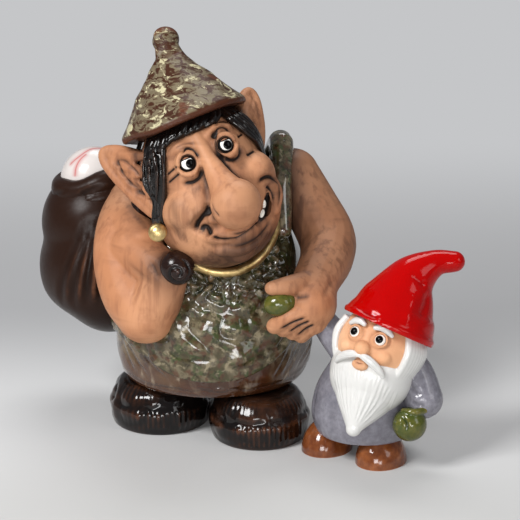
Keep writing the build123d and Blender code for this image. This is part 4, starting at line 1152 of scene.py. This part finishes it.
# Sling: from the sack over the shoulder to a knot with a swirl
slingShape = {
    "line": ((-66, 24, 130, 5), (-52, 10, 140, 6.5), (-38, -8, 145, 7), (-40, -22, 128, 6.6),
             (-36, -39, 114, 6), (-22, -57, 107, 6.2)),
    "knot": ((-18.8, -62, 107.3), (10, 9.4, 9.8)), "boss": ((-17.3, -68.5, 106.8), (5.5, 3.6, 5.5)),
    "swirl": (-18.3, 106.8), "grooves": 5,
}
lumps = [ball(figure, *slingShape[part]) for part in ("knot", "boss")]
clay = shaped("sling", [rolled(figure, [slingShape["line"]])] + lumps, figure, 0.55, 3)
swirlX, swirlZ = slingShape["swirl"]
coil = zip(np.linspace(0, 9.5, 26), np.linspace(7.6, 1.2, 26))
swirl = [(swirlX + r * math.sin(t), -90, swirlZ + r * math.cos(t)) for t, r in coil]
clay.stroke(swirl, 0.9, -1.0, 0.7, taper=0.1, look=ahead)
for k in range(slingShape["grooves"]):
    groove = ((-56 + 3 * k, 8 - 4 * k, 150), (-44 + 3 * k, -10 - 4 * k, 152 - k),
              (-33 + 2 * k, -30 - 3 * k, 140 - 2 * k))
    clay.stroke(groove, 0.9, -0.6, 0.3)
clay.fired(finishes["sling"], "sack_glaze", "sack_sling", ridges=1.6)
print("sack done")

# Gnome's coat and sleeves
coatShape = {
    "axis": (86, -64), "folds": 9,
    "stations": ((13, 24.5), (14, 27), (20, 29.4), (28, 30), (40, 27.2), (52, 20.5), (60, 15.5), (63, 9)),
}
coatX, coatY = coatShape["axis"]
stations = [(z, radius, coatX, coatY) for z, radius in coatShape["stations"]]
clay = shaped("gnomeCoat", [drawnUp(figure, stations, 26)], figure, 0.7, 5)
for turn in np.linspace(0, fullTurn, coatShape["folds"] + 1)[:-1]:
    across, back = math.sin(turn), -math.cos(turn)
    fold = [(coatX + r * across, coatY + r * back, z) for r, z in ((32, 15), (31, 28), (24, 44))]
    clay.stroke(fold, 2.6, -0.8, 0.12, taper=0.45)
clay.fired(finishes["coat"], "grey_glaze", "gnome_coat", pits=0.8, ridges=1.2)

# each sleeve: its line, how soft it is, and its creases
sleeveShape = {
    "Left": (
        ((108, -76, 59, 9), (113.5, -79.5, 50, 10.2), (117, -84, 38.5, 11)), 5,
        ((((104, -92, 52), (110, -95, 47), (116, -96, 45)), 1.6, -0.9, 0.3),
         (((106, -92, 42), (112, -97, 39), (119, -96, 38)), 1.4, -0.7, 0.3)),
    ),
    "Right": (
        ((76, -66, 58, 9), (68, -60, 68, 8.4), (60, -54.5, 77, 7.2), (53, -54, 83, 6)), 4,
        ((((60, -78, 66), (66, -78, 70), (70, -76, 75)), 1.3, -0.8, 0.3),),
    ),
}
for side, (line, soften, creases) in sleeveShape.items():
    clay = shaped("gnome" + side + "Sleeve", [rolled(figure, [line])], figure, 0.6, soften)
    clay.drawn(creases)
    clay.fired(finishes["coat"], "grey_glaze", "gnome_" + side.lower() + "_arm", pits=0.9, ridges=1.2)

# Gnome's mittens and boots
mittenShape = {
    "palm": ((109, -93, 27), (9.5, 9, 9.5)), "thumb": ((104.2, -97.2, 28.5), (3.4, 3.2, 5), (0, 20, 0)),
    "cuff": ((105.5, -94.5, 35, 1.9), (111, -97, 35.4, 2.1), (116.8, -93.5, 35.2, 1.9)),
    "crease": ((104, -104, 34.4), (107, -104, 30), (106.5, -104, 25)),
    "held": ((37.4, -66, 87.6), (8.6, 6.6, 6.8), (0, -8, 0)), "heldRoot": ((42, -65.5, 88.4), (5, 5, 5.4)),
}
lumps = [ball(figure, *mittenShape[part]) for part in ("palm", "thumb")]
clay = shaped("gnomeLeftMitten", lumps + [rolled(figure, [mittenShape["cuff"]])], figure, 0.5, 4)
clay.stroke(mittenShape["crease"], 0.9, -0.8, 0.5, look=ahead)
clay.fired(finishes["mitten"], "green_glaze", "gnome_left_mitten", ridges=1.4)
lumps = [ball(figure, *mittenShape[part]) for part in ("held", "heldRoot")]
clay = shaped("gnomeRightMitten", lumps, figure, 0.5, 3)
clay.fired(finishes["mitten"], "green_glaze", "gnome_right_mitten", ridges=1.4)

gnomeBootShape = {"radii": (14, 17, 18), "turn": (0, 0, -25), "Right": (65, -58, 0), "Left": (94.5, -78, 0)}
for side in ("Right", "Left"):
    lump = ball(figure, gnomeBootShape[side], gnomeBootShape["radii"], gnomeBootShape["turn"], 56)
    boot = fused("gnome" + side + "Boot", [lump], 0.6, 3)
    levelled(boot)
    clay = Clay(boot, figure)
    clay.points[:, 2] = np.maximum(clay.points[:, 2], 0)
    clay.fired(finishes["gnomeBoot"], "brown_glaze", "gnome_" + side.lower() + "_boot", ridges=1.2)

# Gnome's head
gnomeEyes = {
    "Right": (-7.5, -20.2, 4.5), "Left": (7.5, -20.2, 4.5), "radius": 3.3,
    "lid": 3.6, "lidThick": 0.9, "lidProud": 1.1, "segments": (40, 14), "pupil": 2.35, "rim": 3.7,
    "RightGlance": (0.1, 0, 0.2), "LeftGlance": (-0.5, 0, 0.3),
}
gnomeFace = {
    "radius": 23, "nose": ((0, -23.2, -2.6), (4.6, 4.4, 4.2)), "rightCheek": ((-9.5, -16.8, -4), (6, 4.4, 5)),
    "leftCheek": ((9.5, -16.8, -4), (6, 4.4, 5)), "lip": ((0.8, -21.4, -11.6), (4.8, 3.8, 3)),
    "mouth": ((-2.6, -9.8), (0.8, -10.4), (4, -9.8)),
}
lumps = [ball(gnomeHead, (0, 0, 0), gnomeFace["radius"], fine=56)]
lumps += [ball(gnomeHead, *gnomeFace[part]) for part in ("nose", "rightCheek", "leftCheek", "lip")]
for side in ("Right", "Left"):
    x, y, z = gnomeEyes[side]
    facing = Vector((x * 0.6, y, 2)).normalized()
    lumps.append(lidRing(gnomeHead, gnomeEyes, (x, y, z), facing))
clay = shaped("gnomeFace", lumps, gnomeHead, 0.5, 7)
for side in ("Right", "Left"):
    x, y, z = gnomeEyes[side]
    for radius, width, depth, stainAndShade in ((3.1, 0.45, -0.3, 0.6), (5.3, 0.6, -0.4, 0.35)):
        turns = np.radians(np.linspace(0, 360, 17))
        ring = [(x + radius * math.cos(t), z + radius * math.sin(t)) for t in turns]
        clay.stroke(ring, width, depth, stainAndShade, taper=0)
clay.stroke(gnomeFace["mouth"], 0.6, -0.7, 0.8)
clay.fired(finishes["gnomeFlesh"], "gnome_flesh", "gnome_head", "gnome_nose", pits=0.7, ridges=0.6)
for side in ("Right", "Left"):
    name, eye, radius = "gnome" + side + "Eye", Vector(gnomeEyes[side]), gnomeEyes["radius"]
    clay = shaped(name, [ball(gnomeHead, eye, radius, fine=48)], gnomeHead, 0.25, 2)
    out = Vector((gnomeEyes[side][0] * 0.5, gnomeEyes[side][1], 1.5)).normalized() * radius
    front, pupil = eye + out, eye + (out + Vector(gnomeEyes[side + "Glance"])).normalized() * radius
    finish = eyeFinish(name + "Glaze", gnomeHead @ front, gnomeHead @ pupil, gnomeEyes["pupil"],
                       gnomeEyes["rim"])
    clay.fired(finish, "gnome_eye_glaze", "gnome_" + side.lower() + "_eye", pits=0, ridges=0)

# Gnome's hat: a bent cone with a rolled brim
gnomeHatShape = {
    "cone": ((97, -79, 77.5, 26.6), (100, -77.2, 84, 24.2), (103.5, -75, 92, 20.6), (111.5, -72.5, 105, 13.4),
             (123, -71, 112.5, 7.6), (133.5, -71, 113.5, 5.8)),
    "brimUp": 2.2, "brimRadius": 25, "brimThick": 1.7,
    "creases": (
        (((74, -104, 96), (84, -104, 92), (92, -104, 90)), 2.2, -1.2, 0.3),
        (((112, -110, 86), (117, -110, 94), (118, -110, 101)), 3, -1.0, 0.15),
        (((104, -110, 84), (108, -110, 94), (111, -110, 102)), 3, 0.8, 0),
        (((108, -110, 112), (114, -110, 106), (118, -110, 103)), 2.4, -0.9, 0.2),
    ),
}
cone = gnomeHatShape["cone"]
foot, tip = Vector(cone[0][:3]), cone[-1]
tilt = (Vector(cone[2][:3]) - foot).normalized()
across = tilt.cross(Vector(ahead)).normalized()
away = tilt.cross(across)
brim = []
for t in np.linspace(0, fullTurn, 33):
    way = across * math.cos(t) + away * math.sin(t)
    spot = foot + tilt * gnomeHatShape["brimUp"] + way * gnomeHatShape["brimRadius"]
    brim.append((*spot, gnomeHatShape["brimThick"]))
lumps = [rolled(figure, [cone], 40, ends=False), rolled(figure, [brim], 80, ends=False)]
clay = shaped("gnomeHat", lumps + [ball(figure, tip[:3], tip[3])], figure, 0.7, 12)
for line, width, depth, stainAndShade in gnomeHatShape["creases"]:
    clay.stroke(line, width, depth, stainAndShade, look=ahead)
clay.fired(finishes["red"], "red_glaze", "gnome_hat", pits=0.8)

# Gnome's hair and beard, one piece combed down to a point
beardShape = {"locks": 44, "start": (0, 1.1, -15, 23.3), "tip": (78, -100, 27), "tipRadius": 4.4,
              "hollow": 22.2}


def onGnome(a, z, proud):
    reach = math.sqrt(max(gnomeFace["radius"] ** 2 - z * z, 0)) + proud
    return (reach * math.sin(a), -reach * math.cos(a), z)


lines = []
for k in range(beardShape["locks"]):
    a = math.radians(62 + 236 * k / (beardShape["locks"] - 1))
    rows = ((11, 1.0, 2.3), (2, 1.6, 2.3), (-8, 1.0, 2.1), (-16, 1.8, 1.6))
    lines.append([(*onGnome(a, z, proud), thick) for z, proud, thick in rows])
hair = rolled(gnomeHead, lines, 14, ends=False)
tip = gnomeHead.inverted() @ figure @ Vector(beardShape["tip"])
chin = beardShape["start"][2]


def downBeard(share):
    return chin + (tip.z - chin) * share


line = [beardShape["start"], (tip.x * 0.5, tip.y * 0.5 + 0.4, downBeard(0.5), 15.8),
        (tip.x * 0.82, tip.y * 0.82, downBeard(0.82), 8.6), (*tip, beardShape["tipRadius"])]
beard = fused("gnomeBeard", [rolled(gnomeHead, [line], 30), hair], 0.55, 9)
carved(beard, [ball(gnomeHead, (0, 0, 0.5), beardShape["hollow"], fine=56)])
clay = shaped("gnomeBeard", [beard], gnomeHead, 0.5, 2)
for k in range(-10, 11):
    x = k * 2.05
    comb = ((x, -40, -10 - 0.02 * x * x),
            (x * 0.72 + tip.x * 0.4 + 0.8 * math.sin(k * 2.7), -40, downBeard(0.45)),
            (x * 0.16 + tip.x * 0.95, -40, downBeard(0.97)))
    clay.stroke(comb, 0.6, -0.16, 0.1, taper=0.2, look=ahead)
    clay.stroke([(a + 0.9, b, c) for a, b, c in comb], 0.6, 0.15, taper=0.2, look=ahead)
clay.fired(finishes["white"], "white_glaze", "gnome_beard", "gnome_hair", pits=0.5, rounds=6)

# Moustache and brows: one half, and the same on the other side
moustacheShape = {
    "line": ((0.6, -24.4, -6.4, 1.5), (4.4, -24.6, -7, 2.2), (8.6, -23.2, -8.8, 2.3),
             (12.4, -20.6, -11.4, 1.9), (14.4, -18.8, -13.8, 1.0)),
    "combs": (-1.4, 0, 1.4),
}
browShape = {
    "line": ((3.4, -22.4, 10.2, 1.4), (6.2, -21.6, 11.2, 2.0), (9.4, -20.2, 10.6, 2.0),
             (12.4, -18.8, 8.6, 1.3)),
}


def bothSides(line):
    return [[(side * x, y, z, thick) for x, y, z, thick in line] for side in (-1, 1)]


clay = shaped("gnomeMoustache", [rolled(gnomeHead, bothSides(moustacheShape["line"]), 24)], gnomeHead, 0.4, 3)
for side in (-1, 1):
    for shift in moustacheShape["combs"]:
        comb = ((1.5, -6.6 + shift * 0.6), (7, -7.8 + shift), (13.5, -11.6 + shift * 0.7))
        clay.stroke([(side * x, z) for x, z in comb], 0.4, -0.3, 0.3, taper=0.2)
clay.fired(finishes["white"], "white_glaze", "gnome_moustache", pits=1.2, rounds=5)
clay = shaped("gnomeBrows", [rolled(gnomeHead, bothSides(browShape["line"]), 20)], gnomeHead, 0.4, 3)
clay.fired(finishes["white"], "white_glaze", "gnome_eyebrows", pits=1.2, rounds=5)
print("gnome done")

# Floor, light and camera
alone()
bpy.ops.mesh.primitive_plane_add(size=16)
floor = bpy.context.object
floor.name = "floor"
f = Finish("studioFloor")
depth = f.along("Y")
# painted light and shade: the floor is lighter just round the figure and darker behind it
shade = f.mix(f.band(depth, -0.2, 0.02), "#bbbbb9", "#cacaca")
shade = f.mix(f.band(depth, 0.02, 0.24), shade, "#a3a3a4")
floor.data.materials.append(f.made(shade, 0.75))
# what lies far behind the figure shows its own even grey to the camera and in reflections
glow = f.node("ShaderNodeEmission", {"Color": paint("#c5c6c8")})
kinds = ("Is Camera Ray", "Is Glossy Ray", "Is Transmission Ray")
seen = sum(f.node("ShaderNodeLightPath", out=kind) for kind in kinds)
matte = Value(f, f.shader.outputs[0])
both = f.node("ShaderNodeMixShader", {0: f.band(depth, 0.2, 0.75) * seen, 1: matte, 2: glow})
f.feed(f.tree.nodes["Material Output"].inputs["Surface"], both)

world = bpy.data.worlds.new("studio")
bpy.context.scene.world = world
world.use_nodes = True
sky = world.node_tree.nodes["Background"].inputs
sky["Color"].default_value = (0.93, 0.95, 1, 1)
sky["Strength"].default_value = 0.2

# place, power, width and length of each lamp, in metres and watts
lamps = {
    "keyLamp": ((-0.8, -0.75, 1.1), 20.5, 0.5, 0.5),
    "fillLamp": ((0.95, -0.75, 0.7), 2.5, 0.4, 0.7),
    "frontLamp": ((-0.2, -1.35, 0.3), 6.5, 0.5, 0.3),
    "lowLamp": ((0.3, -1.25, 0.14), 2, 0.3, 0.22),
    "topLamp": ((0.1, 0.5, 1.25), 7, 0.8, 0.5),
}
lampTarget = Vector((0, 0, 0.1))
for name, (place, power, width, length) in lamps.items():
    alone()
    bpy.ops.object.light_add(type="AREA", location=place)
    lamp = bpy.context.object
    lamp.name = name
    lamp.data.energy = power
    lamp.data.shape = "RECTANGLE"
    lamp.data.size = width
    lamp.data.size_y = length
    lamp.rotation_euler = (lampTarget - Vector(place)).to_track_quat("-Z", "Y").to_euler()

cameraView = {"target": (27, 0, 94), "distance": 1300, "elevation": 16, "lens": 155.2, "sensor": 36}
elevation = math.radians(cameraView["elevation"])
target = figure @ Vector(cameraView["target"])
back = Vector((0, -math.cos(elevation), math.sin(elevation)))
alone()
bpy.ops.object.camera_add(location=target + back * cameraView["distance"] * mm)
camera = bpy.context.object
camera.rotation_euler = (target - camera.location).to_track_quat("-Z", "Y").to_euler()
camera.data.lens = cameraView["lens"]
camera.data.sensor_width = cameraView["sensor"]
bpy.context.scene.camera = camera
bpy.context.scene.view_settings.view_transform = "Standard"

print("scene done")
